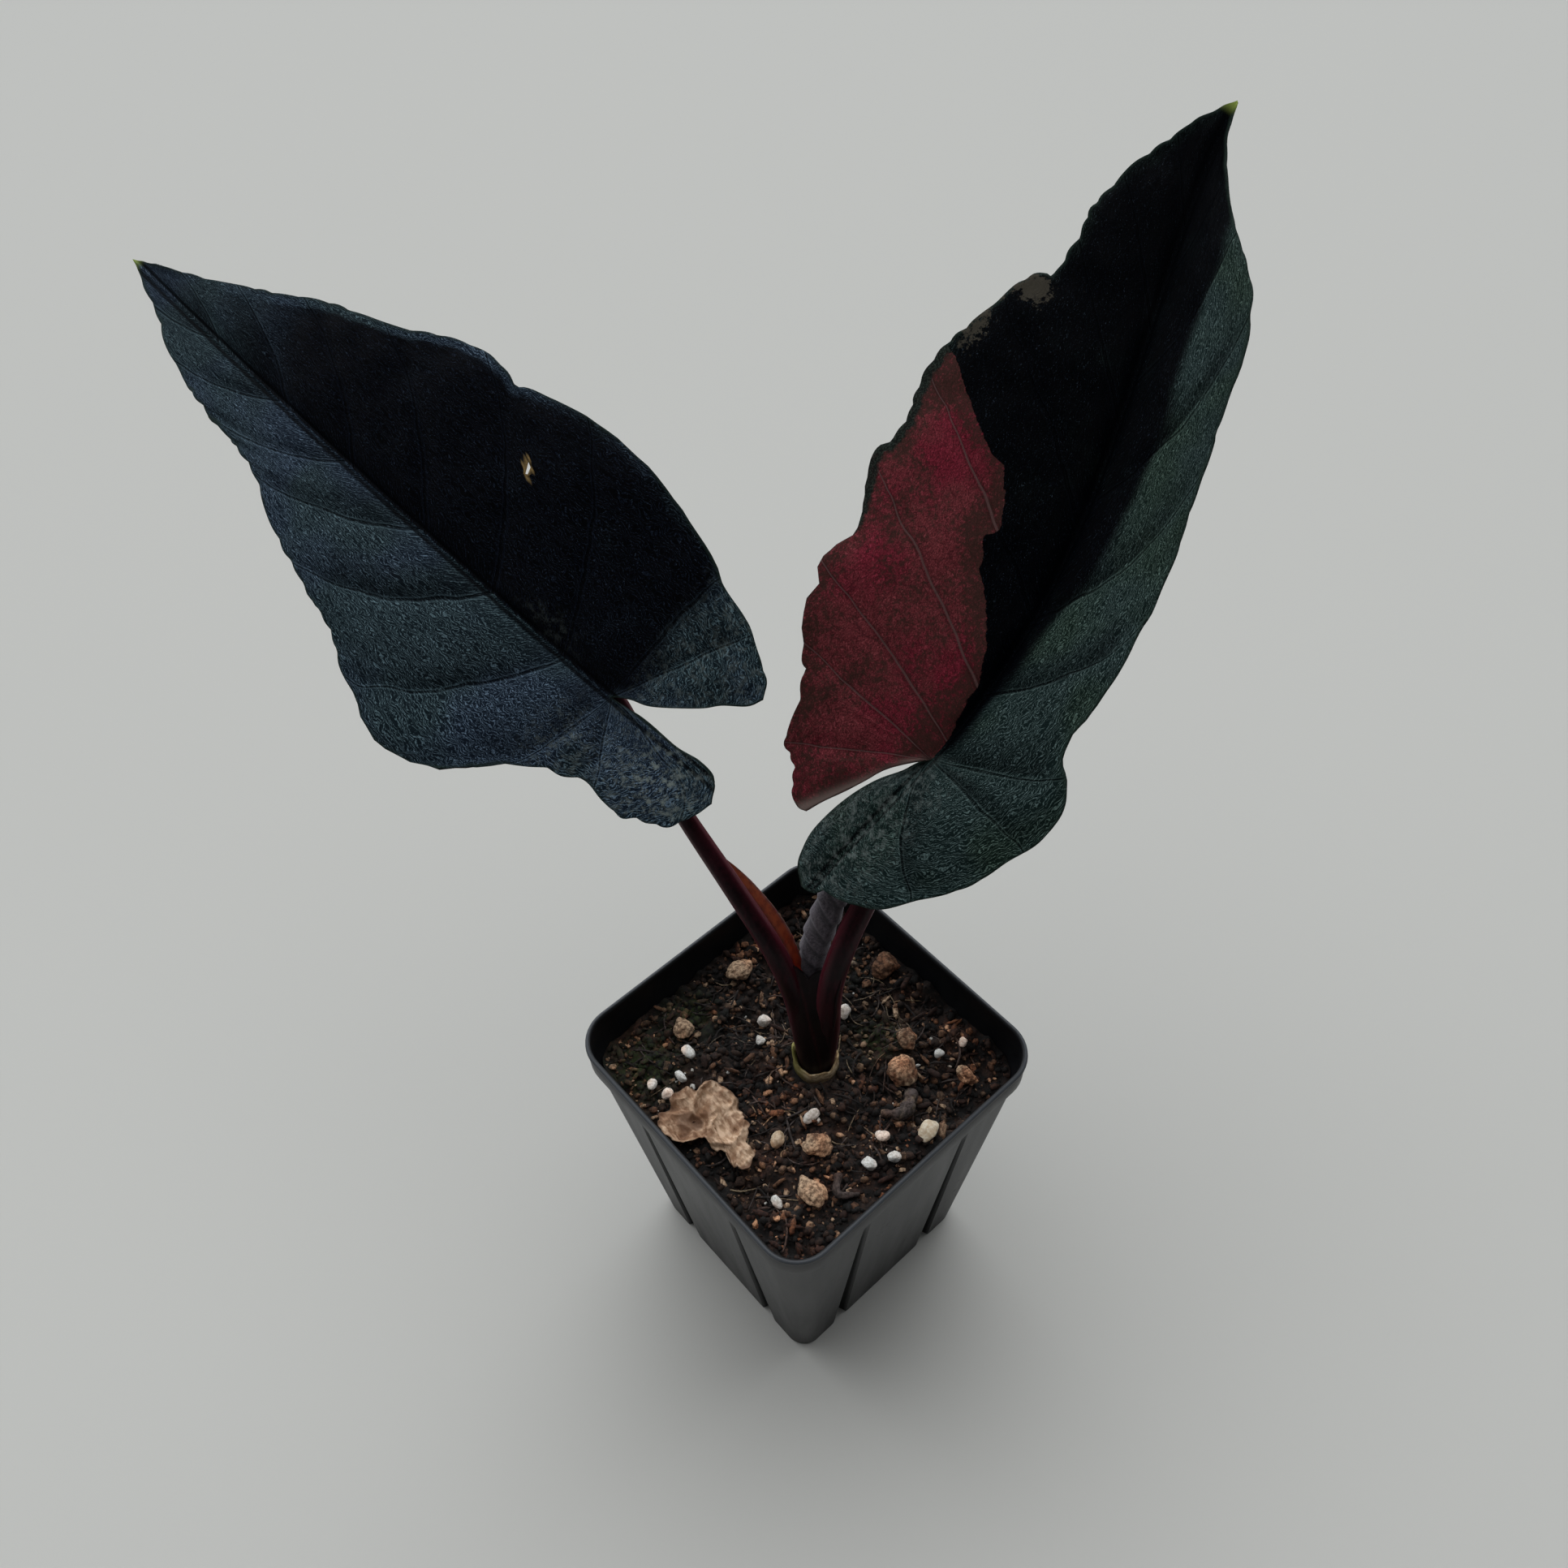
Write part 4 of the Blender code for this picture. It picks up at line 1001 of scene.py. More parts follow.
def blade_relief(half, flat, edge, vein_distance, gap, ribs, sinus):
    """Height over the plain blade: quilted between sunk veins, pebbled, wavy at the rim, rolled at the sinus.

    The quilt rises from a vein as 1 less a bell curve, the midrib lies in a trough that is a bell curve with
    a narrow ridge in it, and the wave is a sine that dies away from the margin.
    """
    out = flat[..., 1]
    quilt = 0.85 * np.minimum(gap / 12, 1) * (1 - np.exp(-((vein_distance / 2.6) ** 2)))
    quilt *= smooth_step(edge / 7)
    trough = -0.7 * np.exp(-((out / 1.5) ** 2)) + half["ridge"] * np.exp(-((out / 0.42) ** 2))
    pebbles = layered_noise(flat, [(14, 0.5), (6, 0.28)], seed=3)
    pebbles += 0.07 * lattice_noise(ribs * (0.45, 1), 1.6, seed=9)
    wave = 0.35 * np.sin(ribs[..., 0] / 2.6 + 2 * np.sin(ribs[..., 0] / 11)) * np.exp(-edge / 4)
    reach, slope = half["roll"]
    from_sinus = nearest(flat, sinus)
    rolled = -slope * np.maximum(reach - from_sinus, 0) * smooth_step(-flat[..., 0] / 6)
    return trough + (quilt + pebbles * smooth_step(edge / 2) + wave + rolled) * smooth_step(np.abs(out) / 3.5)


def make_blade(name, blade, finishes, tones, nodes):
    grids = []
    for side in ("left", "right"):
        points, maps, flat, edge, phase, depth = blade_fields(blade, side)
        values = tones(side, flat, edge)
        # Painted light and shade: lighter on one side of each panel between veins, darker on the other
        panel = blade["panels"] * np.cos(np.pi * (phase - np.floor(phase)))
        values["light"] = values["light"] * (1 + panel * smooth_step(edge / 6))
        values["tip"] = smooth_step((flat[..., 0] - blade_frame(blade)[4] + 4.5) / 4)
        values["scorch"] = smooth_step((1.35 - depth) / 0.3)
        keep = depth[:-1, :-1] + depth[1:, :-1] + depth[:-1, 1:] + depth[1:, 1:] > 4
        grids.append(grid(points, values, maps, keep, flip=side == "right"))
    return make_piece(name, grids, finishes, nodes, wall=BLADE_THICKNESS)


def left_tones(side, flat, edge):
    """Slate blade: painted light on the lobes, the left half and toward the tip, chalky near the stalk."""
    along = flat[..., 0]
    lobe = smooth_step((2 - along) / 12)
    if side == "left":
        light = 0.75 + 0.25 * lobe + 0.2 * smooth_step((along - 70) / 50)
        chalk = bumps(flat, (1, (-22, 9), (9, 8)), (0.5, (2, 15), (6, 8))) + 0.25 * lobe
    else:
        light = 0.75 * lobe + 0.3 * smooth_step((4 - edge) / 4) + 0.75 * smooth_step((along - 95) / 50)
        light = light + 0.9 * (smooth_step((2.6 - edge) / 1.4) * smooth_step((along - 40) / 40))
        chalk = 0.3 * lobe + bumps(flat, (0.15, (20, 4), (8, 3)))
    return {"light": light, "chalk": np.clip(chalk, 0, 1), "pale": 0}


def right_tones(side, flat, edge):
    """Green blade: pink sector and pale band on its left half, painted light on its right half toward its
    margin.
    """
    along, out = flat[..., 0], flat[..., 1]
    if side == "right":
        start = 0.6 + 9.5 * smooth_step((along - 12) / 65)
        light = smooth_step((out - start) / 6) + smooth_step((8 - along) / 14)
        chalk = 0.4 * smooth_step((4 - along) / 12) * smooth_step((16 - out) / 12)
        return {"light": np.clip(light, 0, 1), "chalk": chalk, "pale": 0, "sector": -10, "brown": 0,
                "white": 0, "rim": 0}
    places, widths = np.array(SECTOR_EDGE).T
    sector = (out - np.interp(along, places, widths)) * smooth_step((95 - along) / 3)
    band = bumps(flat, (0.8, (100, 36), (13, 4))) * smooth_step((9 - edge) / 6)
    patch = bumps(flat, (0.95, (109, 26), (4, 5)))
    brown = bumps(flat, (1, (8, 3), (9, 6)), (0.7, (84, 40), (12, 9)), (0.5, (57, 16), (8, 5)))
    from_sinus = np.abs(out + 0.62 * along - 0.2)
    white = np.exp(-((from_sinus / 2.0) ** 2)) * smooth_step((2 - along) / 6)
    return {"light": 0.3 * smooth_step((5 - edge) / 5), "chalk": 0, "pale": np.clip(0.9 * band + patch, 0, 1),
            "sector": np.where(along > 92, -10, sector), "brown": brown, "white": np.clip(white, 0, 0.85),
            "rim": 2.2 * smooth_step((along - 35) / 20)}


# Stalks, sheaths and the furled leaf


def stalk_path(path, blade):
    """The stalk up to its blade, then on along the midrib, close under the blade's lower face."""
    rows = list(path)
    face = blade_frame(blade)[3]
    for place, radius in MIDRIB_UNDERSIDE:
        middle = blade_points(blade, "left", np.array([float(place)]), np.array([0.0]))[0]
        rows.append((*(middle - face * (BLADE_THICKNESS + MIDRIB_CLEARANCE + radius)), radius))
    return curve_through(rows, 260)


def make_stalk(name, path, blade, finish, nodes):
    """Tube along the path: faint ribs round it, |cos| deep, swelling slowly along its length."""
    line = stalk_path(path, blade)
    columns = 33
    offsets = round_offsets(line[:, 3] * (1 + 0.02 * np.sin(np.arange(len(line)) / 9)), columns)
    angles = full_turn(columns)
    offsets = offsets * (1 + 0.025 * np.cos(9 * angles))[None, :, None]
    points = swept(line[:, :3], offsets, (0.76, -0.65, 0))
    # "edge_light" marks the two side edges, where the finish paints light
    return make_single(name, points, {"edge_light": np.cos(angles) ** 4}, finish, nodes)


def make_furled_leaf(finish):
    """Rolled leaf: a spiral section that overlaps itself, with slanting folds like scales across it.

    Over each fold the radius rises by an eased step, and falls off as 1 less the way over it, to the power
    1.3.
    """
    line = curve_through(FURLED_LEAF, 150)
    angles = full_turn(57)
    gone = run_length(line[:, :3])[:, None]
    slant = gone / 5.4 + 0.4 * np.sin(angles + 0.6) + 0.12 * np.sin(2 * angles) + 0.1 * np.sin(gone / 5)
    step = slant - np.floor(slant)
    rise = 0.75 * (1 - step) ** 1.3 * smooth_step(step / 0.22)
    seam = 0.45 * (1 - angles / (2 * np.pi)) * np.exp(-angles / 2.2)
    radius = line[:, 3:] * (0.9 + 0.05 * np.cos(2 * angles)) + rise - 0.15 + seam
    radius[[0, -1]] = 0
    offsets = radius[..., None] * circle(angles)
    offsets[:, -1] = offsets[:, 0]
    points = swept(line[:, :3], offsets, (-0.5, -0.8, 0.2))
    # Where the finish paints shade: in the creases either side of each fold's step
    crease_shade = np.exp(-((step / 0.1) ** 2)) + np.exp(-(((1 - step) / 0.22) ** 2))
    return make_single("furled_new_leaf", points, {"crease_shade": crease_shade}, finish, ["furled_leaf"])


def make_wing(name, path, low, high, toward, width, curl, finish, nodes):
    """Thin wing off a stalk: its width swells and fades as a sine over its height, and it curls inwards."""
    line = curve_through(path, 400)
    line = line[(line[:, 2] >= low) & (line[:, 2] <= high)][::2]
    part = np.linspace(0, 1, len(line))[:, None]
    across = np.linspace(0, 1, 18)
    reach = width * np.sin(np.pi * np.clip(part * 0.93 + 0.05, 0, 1)) ** 0.7
    direction = unit([*toward, 0.0])
    aside = np.array([-direction[1], direction[0], 0])
    out = line[:, 3:] * 0.75 + reach * across
    ripple = 0.15 * np.sin(part * 14 + across * 2) * across
    bend = curl * (reach * across) ** 2 + ripple
    points = line[:, None, :3] + out[..., None] * direction + bend[..., None] * aside
    return make_single(name, points, {"across": across}, finish, nodes, wall=0.3)


def make_sheath_base(finish):
    """Sheath bases wrapped round each other: an oval tube whose rim dips at the front and climbs both stalks.

    It reaches 2.9 beyond the stalks' middles, and its short half goes from 4.7 at the foot to 3.2, less 2.4
    on one side by the top. The left sheath lies over the right one, up to a slanting edge.
    """
    angles = full_turn(97)
    part = np.linspace(0, 1, 60)[:, None]
    rim = 138.0 + 5 * (1 - np.exp(-np.abs(np.cos(angles)) / 0.2)) - 8 * np.maximum(np.sin(angles), 0)
    height = 97 + (rim - 97) * part
    lower = (np.array(path[:5]) for path in (LEFT_STALK, RIGHT_STALK))
    left, right = (read_off(path[:, :2], path[:, 2], height) for path in lower)
    long = unit(right - left)
    short = joined(-long[..., 1], long[..., 0])
    cup = 1 - 0.1 * smooth_step((part - 0.88) / 0.12)
    wide = np.maximum(np.linalg.norm(right - left, axis=-1) / 2 + 2.9, 4.75) * cup
    deep = (4.7 - 1.5 * smooth_step((height - 108) / 22)) * cup
    deep = deep - 2.4 * smooth_step((height - 124) / 16) * (np.sin(angles) < 0)
    seam = 5.35 - 1.0 * part
    overlap = 1 + 0.08 * smooth_step((seam - angles) / 0.12) * smooth_step((angles - 2.4) / 1.2)
    flat = ((left + right) / 2 + (wide * np.cos(angles))[..., None] * long
            + (deep * overlap * np.sin(angles))[..., None] * short)
    # Painted light on the sheath's two edges and along the seam where the left sheath overlaps
    edge_light = 0.8 * np.abs(np.cos(angles - 0.35)) ** 10 + 0.35 * np.exp(-(((angles - seam) / 0.045) ** 2))
    points = np.concatenate([flat, height[..., None]], -1)
    return make_single("sheath_base", points, {"edge_light": edge_light}, finish, wall=0.35)


def make_old_sheath(finish):
    """Cut ring of an old sheath: a thin wall round the foot, its top rising twice as powers of a cosine."""
    angles = full_turn(121)
    tall = np.radians(-40)
    other = np.radians(140)
    height = (5.4 + 10 * np.maximum(0, np.cos((angles - tall) / 2)) ** 60
              + 5.5 * np.maximum(0, np.cos((angles - other) / 2)) ** 30
              + 0.35 * np.sin(5 * angles) + 0.2 * np.sin(13 * angles + 1))
    section = [(0, 0), (0, 0.5), (0.1, 0.9), (0.45, 1), (0.8, 0.9), (1, 0.5), (1, 0), (0, 0)]
    across, up = np.hsplit(np.array(section), 2)
    inner, outer = 5.1, 6.4
    top = up * height
    radius = outer - (outer - inner) * across * (1 - 0.35 * up) + 0.13 * np.maximum(top - 5, 0)
    radius = radius - 0.45 * np.sin(np.pi * up * 0.9)
    reach = radius + 0.2 * np.sin(7 * angles) * up
    points = joined(FOOT[0] + reach * np.cos(angles), FOOT[1] + reach * np.sin(angles), SOIL_TOP - 1.5 + top)
    torn = 0.05 + 0.8 * np.cos(angles - other)
    return make_single("old_sheath_ring", points, {"edge_dark": torn}, finish, ["old_sheath"])


# Pot


def pot_side(height):
    """Full width of the body's outside at a height, under the rim."""
    return BASE_SIDE + (RIM_SIDE - 2 * RIM_STEP - BASE_SIDE) * height / (POT_HEIGHT - RIM_DEPTH)


def square_ring(side, corner, height, inset=0.0):
    """One turn round a square with rounded corners; two steep grooves a side deepen as the height falls.

    The fourth column is how deep each point lies in a groove.
    """
    below_top = max(0.0, 1 - height / GROOVE_TOP)
    depth = GROOVE_DEPTH * below_top**0.45
    spread = GROOVE_NARROW + (GROOVE_WIDE - GROOVE_NARROW) * below_top + inset
    half = side / 2 - inset
    radius = max(corner - inset, 1.5)
    flat = half - radius
    near = GROOVE_PLACE + spread * np.linspace(-1.15, 1.15, 13)
    run = np.sort(np.concatenate([near, -near, np.linspace(-12, 12, 7), [-flat * 0.995, flat * 0.995]]))
    away = np.abs(np.abs(run) - GROOVE_PLACE) / spread
    dent = depth * smooth_step((1 - away) / 0.4)
    straight = joined(half - dent, run)
    angles = np.linspace(0, np.pi / 2, 12)
    arc = flat + radius * circle(angles)
    quarter = np.concatenate([straight, arc])
    turned = [quarter @ np.array([[c, s], [-s, c]]) for c, s in ((1, 0), (0, 1), (-1, 0), (0, -1))]
    ring = np.concatenate([*turned, turned[0][:1]])
    dents = np.concatenate([np.tile(np.concatenate([dent, 0 * angles]), 4), dent[:1]])
    return np.column_stack([ring, np.full(len(ring), float(height)), dents])


def body_ring(height, inset=0.0):
    corner = BASE_CORNER + (RIM_CORNER - BASE_CORNER) * height / POT_HEIGHT
    return square_ring(pot_side(height), corner, height, inset)


def rim_ring(narrower, height, inset=0.0):
    return square_ring(RIM_SIDE - narrower, RIM_CORNER, height, inset)


def make_pot(finish):
    """Closed wall: up the outside to a rolled lip, down the inside, over the floor and back under it.

    Rows are counted from the lip's first; "lip" is greatest at its middle, and "inside" is 1 from just
    past that.
    """
    band = POT_HEIGHT - RIM_DEPTH
    rings = [body_ring(0, 0.8) * (scale, scale, 1, 1) for scale in (0, 0.3, 0.6, 0.85)]
    rings += [body_ring(0, 0.8), body_ring(0.3, 0.25), body_ring(0.9)]
    rings += [body_ring(h) for h in np.linspace(2, band - 1.2, 40)]
    rings += [rim_ring(2 * RIM_STEP, band - 0.5), rim_ring(2 * RIM_STEP - 0.5, band)]
    rings += [rim_ring(1.1, band + 0.25)]
    rings += [rim_ring(0.6, h) for h in (band + 0.8, band + 3, POT_HEIGHT - 2 * LIP_RADIUS - 0.3)]
    lip = []
    for angle in np.linspace(-0.4 * np.pi, np.pi, LIP_ROWS):
        out = LIP_RADIUS * np.cos(angle) - LIP_RADIUS
        height = POT_HEIGHT - LIP_RADIUS + LIP_RADIUS * np.sin(angle)
        lip.append(square_ring(RIM_SIDE + 2 * out, RIM_CORNER + out, height))
    inner = [rim_ring(0.6, h, WALL) for h in (POT_HEIGHT - 2 * LIP_RADIUS, band + 0.5)]
    inner += [body_ring(h, WALL) for h in np.linspace(band - 2, WALL + 0.6, 24)]
    inner += [body_ring(WALL, WALL + 1) * (scale, scale, 1, 1) for scale in (1, 0.85, 0.5, 0)]
    points = np.stack(rings + lip + inner)
    row = np.arange(len(points))[:, None] - len(rings)
    past_middle = row - LIP_ROWS / 2
    # The finish paints a highlight along "lip" and shade where "inside" and "groove" are high
    values = {"lip": smooth_step(1 - np.abs(past_middle) / 3), "inside": 1.0 * (past_middle > 1),
              "groove": points[..., 3] / GROOVE_DEPTH}
    pot = make_single("nursery_pot", points[..., :3], values, finish, ["pot"])
    cut_drain_holes(pot)


def cut_drain_holes(pot):
    """Takes four round holes near the corners and four slots out of the floor, then applies the cuts."""
    places = [(x * CORNER_HOLE_PLACE, y * CORNER_HOLE_PLACE, CORNER_HOLE, CORNER_HOLE)
              for x in (-1, 1) for y in (-1, 1)]
    places += [(SLOT_PLACE, 0, SLOT_WIDTH, SLOT_LENGTH), (-SLOT_PLACE, 0, SLOT_WIDTH, SLOT_LENGTH),
               (0, SLOT_PLACE, SLOT_LENGTH, SLOT_WIDTH), (0, -SLOT_PLACE, SLOT_LENGTH, SLOT_WIDTH)]
    shape = bmesh.new()
    for x, y, length, width in places:
        made = bmesh.ops.create_cone(
            shape, cap_ends=True, segments=32, radius1=0.5, radius2=0.5, depth=CUTTER_DEPTH * MM)
        bmesh.ops.scale(shape, vec=(length * MM, width * MM, 1), verts=made["verts"])
        bmesh.ops.translate(shape, vec=(x * MM, y * MM, 0), verts=made["verts"])
    mesh = bpy.data.meshes.new("Drain holes")
    shape.to_mesh(mesh)
    shape.free()
    cutter = add_object("Drain holes", mesh)
    cut = pot.modifiers.new("Drain holes", "BOOLEAN")
    cut.operation = "DIFFERENCE"
    cut.object = cutter
    bpy.context.view_layer.update()
    pot_mesh = bpy.data.meshes.new_from_object(pot.evaluated_get(bpy.context.evaluated_depsgraph_get()))
    pot.modifiers.clear()
    pot.data = pot_mesh
    bpy.data.objects.remove(cutter)
    pot_mesh.set_sharp_from_angle(angle=np.radians(50))


# Potting mix and what lies on it


def soil_height(x, y):
    """Level of the mix: the low waves of the solid one, broken into crumbs of several sizes."""
    waves = np.sin(x / 6.5 + 1) * np.cos(y / 5.5) + 0.6 * np.sin((x + 1.3 * y) / 4.1)
    away = np.hypot(x - FOOT[0], y - FOOT[1])
    calm = smooth_step((away - 5) / 6)
    place = joined(x, y)
    crumbs = layered_noise(place, [(7, 1.2), (3.2, 1.1), (1.6, 0.6), (0.8, 0.3)], seed=20)
    return SOIL_TOP + SOIL_WAVE * waves * smooth_step((away - 9) / 8) + crumbs * (0.35 + 0.65 * calm) - 0.6


def moss_at(x, y):
    """How mossy the mix is at a place: four soft patches."""
    return bumps(joined(x, y), *MOSS_PATCHES)


def even_ring(ring):
    """The ring's places, sampled at equal steps round it."""
    gone = run_length(ring[:, :3])
    return read_off(ring[:, :3], gone, np.linspace(0, gone[-1], MIX_COLUMNS))


def make_mix(finish):
    """Solid of the mix: up the pot's inside and over the crumbly top to its middle."""
    inset = WALL + 0.15
    rings = [body_ring(WALL + 0.3, inset + 1) * (scale, scale, 1, 1) for scale in (0, 0.5)]
    rings += [body_ring(h, inset) for h in np.linspace(WALL + 0.3, SOIL_TOP - 4, 9)]
    rings = [even_ring(ring) for ring in rings]
    top = even_ring(body_ring(SOIL_TOP, inset))
    scales = np.concatenate([np.linspace(1, 0.1, 150), [0.07, 0.04, 0]])
    surface = top[None] * joined(scales, scales, 0 * scales + 1)[:, None]
    surface[..., 2] = soil_height(surface[..., 0], surface[..., 1])
    points = np.concatenate([np.stack(rings), surface])
    shade = 0.2 + 0.5 * layered_noise(points, [(9, 0.5), (2.5, 0.5)], seed=31)
    values = {"shade": np.clip(shade, 0, 1), "moss": moss_at(points[..., 0], points[..., 1])}
    return make_single("bark_peat_mix", points, values, finish, ["potting_mix"])


def ball_of(rows, columns):
    """Directions over a ball, the last column exactly on the first."""
    rise = np.linspace(-np.pi / 2, np.pi / 2, rows)[:, None]
    around = full_turn(columns)
    ball = joined(np.cos(rise) * np.cos(around), np.cos(rise) * np.sin(around), np.sin(rise) + 0 * around)
    ball[:, -1] = ball[:, 0]
    return np.round(ball, 9)


def cut_radius(ball, rng, count, planes, sharp):
    """Balls cut by planes: the radius toward u is the sum of (u.n / d)^sharp, to the power -1/sharp.

    Each plane has a normal n and lies d away, and a last one at BALL_REACH faces every way.
    """
    normals = unit(rng.normal(size=(count, planes, 3)))
    depths = rng.uniform(0.6, 0.95, (count, 1, 1, planes))
    facing = np.maximum(np.einsum("rci,npi->nrcp", ball, normals), 0) / depths
    return ((facing**sharp).sum(-1) + BALL_REACH**-sharp) ** (-1 / sharp)


def lumps(centres, sizes, turns, rough, rng):
    """Many broken crumbs as one array: cut balls stretched to size, roughened, turned, leant and set down."""
    ball = ball_of(CRUMB_ROWS, CRUMB_COLUMNS)
    total = len(centres)
    centres = np.asarray(centres, float)[:, None, None]
    swell = cut_radius(ball, rng, total, 7, 7)
    swell *= 1 + rough * lattice_noise(ball[None] + centres * 3.7, 0.7, 3)
    body = ball * swell[..., None] * np.asarray(sizes, float)[:, None, None] / 2
    lean = rng.normal(0, 0.35, total)[:, None, None]
    body = joined(body[..., 0] * np.cos(lean) - body[..., 2] * np.sin(lean), body[..., 1],
                  body[..., 0] * np.sin(lean) + body[..., 2] * np.cos(lean))
    c, s = np.cos(turns)[:, None, None], np.sin(turns)[:, None, None]
    x, y, z = body[..., 0], body[..., 1], body[..., 2]
    return joined(x * c - y * s, x * s + y * c, z) + centres


def scattered(rng, count, margin):
    """Random places on the mix, clear of the wall and of the plant's foot."""
    half = pot_side(SOIL_TOP) / 2 - WALL - margin
    places = rng.uniform(-half, half, (3 * count, 2))
    corner = np.maximum(np.abs(places) - (half - 6), 0)
    free = (np.hypot(*(places - FOOT).T) > FOOT_CLEARANCE) & (np.hypot(*corner.T) < 6)
    return places[free][:count]


def make_crumbs(name, count, sizes, shapes, rough, shades, seed, finish, spots=None, lift=0.2):
    """Small lumps resting on the mix: lengths drawn between two sizes, and shades between two values."""
    rng = np.random.default_rng(seed)
    spots = scattered(rng, count, margin=1.5) if spots is None else np.array(spots, float)
    length = sizes[0] + (sizes[1] - sizes[0]) * rng.random(len(spots)) ** 2.2
    wide, tall = (length * rng.uniform(*share, len(spots)) for share in shapes)
    dims = joined(length, wide, tall)
    height = soil_height(spots[:, 0], spots[:, 1]) + dims[:, 2] * lift
    turns = rng.uniform(0, 2 * np.pi, len(spots))
    points = lumps(np.column_stack([spots, height]), dims, turns, rough, rng)
    drawn = rng.random(len(spots))[:, None, None] ** 1.6
    shade = shades[0] + (shades[1] - shades[0]) * drawn
    moss = 0.8 * moss_at(points[..., 0], points[..., 1])
    return make_single(name, points, {"shade": shade, "moss": moss}, finish)


def make_fibres(name, count, length, radius, shades, seed, finish):
    """Hair-thin roots and straws lying on the mix: short arcs, humped a little in their middles."""
    rng = np.random.default_rng(seed)
    spots = scattered(rng, count, margin=6)
    total = len(spots)
    reach = rng.uniform(*length, total)[:, None]
    angle = rng.uniform(0, 2 * np.pi, total)[:, None]
    part = np.linspace(-0.5, 0.5, 9)
    turn = angle + rng.normal(0, 0.5, total)[:, None] * part
    x = spots[:, :1] + reach * part * np.cos(turn)
    y = spots[:, 1:] + reach * part * np.sin(turn)
    z = soil_height(x, y)
    hump = rng.uniform(0.2, 1.6, total)[:, None] * (0.25 - part**2) * 2
    z = 0.5 * z + 0.5 * z.mean(1, keepdims=True) + 0.55 + hump
    line = joined(x, y, z)
    forward = unit(np.gradient(line, axis=1))
    across = unit(np.cross(forward, (0, 0, 1)))
    other = np.cross(forward, across)
    thick = rng.uniform(*radius, total)[:, None] * np.sqrt(np.clip(1.02 - (2 * part) ** 4, 0, 1))
    thick[:, [0, -1]] = 0
    around = full_turn(6)
    ring = np.cos(around)[:, None] * across[:, :, None] + np.sin(around)[:, None] * other[:, :, None]
    points = line[:, :, None] + thick[..., None, None] * ring
    points[:, :, -1] = points[:, :, 0]
    shade = rng.uniform(*shades, total)[:, None, None]
    return make_single(name, points, {"shade": shade}, finish)


def make_lump(node, finish, rough, seed, shade, planes, sharp):
    """A cut ball with a finer, rougher skin, in the place of its CAD node, a little larger and lower."""
    low, high = (np.array(corner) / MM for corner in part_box(node))
    ball = ball_of(31, 49)
    rng = np.random.default_rng(seed)
    swell = cut_radius(ball, rng, 1, planes, sharp)[0]
    fine = layered_noise(ball + seed * 5.3, [(0.5, 0.5), (0.22, 0.35), (0.1, 0.15)], seed)
    swell = swell * (1 + rough * fine) / swell.max()
    points = (low + high) / 2 + ball * swell[..., None] * (high - low) * LUMP_SCALE
    points[..., 2] -= LUMP_SUNK
    return make_single("real_" + node, points, {"shade": shade + 0.25 * fine}, finish, [node])


def make_twig(node, shade, route, finish):
    """Bent stick: knobbly tube along its route, a good deal thinner at its far end."""
    line = curve_through(route, 60)
    height = float(soil_height(line[:, 0], line[:, 1]).mean()) + 1.1
    part = np.linspace(0, 1, 60)
    path = np.column_stack([line[:, :2], height + line[:, 2] * 0.6 + 1.2 * part])
    knots = 0.95 - 0.45 * part + 0.2 * lattice_noise(line[:, :2], 2.2, 4)
    knots = knots + 0.12 * lattice_noise(line[:, :2], 0.9, 5)
    offsets = round_offsets(line[:, 2] * knots, 17)
    grain = 1 + 0.1 * np.cos(3 * full_turn(17) + 1)
    points = swept(path, offsets * grain[None, :, None], (0, 0, 1))
    return make_single("real_" + node, points, {"shade": shade}, finish, [node])


def make_dried_leaf(finish):
    """Crumpled dead leaf: rings drawn in from a lobed outline, folded by ridged noise, its rim curled up."""
    outline = curve_through(DRIED_LEAF_OUTLINE, 241, closed=True)
    centre = np.array(DRIED_LEAF_MIDDLE)
    jag = 0.7 * lattice_noise(outline, 2.3, 8) + 0.5 * lattice_noise(outline, 1.0, 9)
    outline = outline + unit(outline - centre) * jag[:, None]
    part = np.linspace(0, 1, 70)[:, None, None]
    flat = centre + (outline - centre) * part
    warped = flat @ np.array([[0.8, -0.6], [0.6, 0.8]])
    warped = warped + 1.4 * joined(lattice_noise(warped, 4.0, 16), lattice_noise(warped, 4.0, 18))
    folds = 1 - 2 * np.abs(lattice_noise(warped, 8.0, 12))
    small = 1 - 2 * np.abs(lattice_noise(warped, 3.4, 13))
    rim = smooth_step((part[..., 0] - 0.7) / 0.3)
    height = SOIL_TOP + 3.3 + 1.2 * folds + 0.9 * small + 0.3 * lattice_noise(warped, 1.2, 17)
    height = height + rim * (1.5 * lattice_noise(warped, 5.0, 14) + 0.3)
    points = np.concatenate([flat, height[..., None]], -1)
    points[:, -1] = points[:, 0]
    # edge_dark: the darker torn rim, and painted shade in the valleys of the folds
    dark = np.clip(smooth_step((part[..., 0] - 0.9) / 0.1) * 0.7 + 0.8 * smooth_step(-folds * 1.6 - 0.1)
                   + 0.5 * smooth_step(-small * 1.5), 0, 1)
    return make_single("dry_leaf", points, {"edge_dark": dark}, finish, ["dried_leaf"],
                       wall=0.3)


# Camera, floor and lights


def camera_axes():
    """Right, up and backward directions of the camera from its turn, height and roll."""
    turn, height, roll = np.radians([CAMERA_TURN, CAMERA_HEIGHT, CAMERA_ROLL])
    back = np.array([np.sin(turn) * np.cos(height), -np.cos(turn) * np.cos(height), np.sin(height)])
    level = unit(np.cross(-back, (0, 0, 1)))
    down = np.cross(-back, level)
    right = np.cos(roll) * level + np.sin(roll) * down
    return right, np.cross(back, right), back


def stand(thing, place, axes):
    """Puts a camera or a light at a place, with its right, up and backward directions along the axes."""
    thing.matrix_world = Matrix.Translation(place) @ Matrix(np.array(axes).T.tolist()).to_4x4()


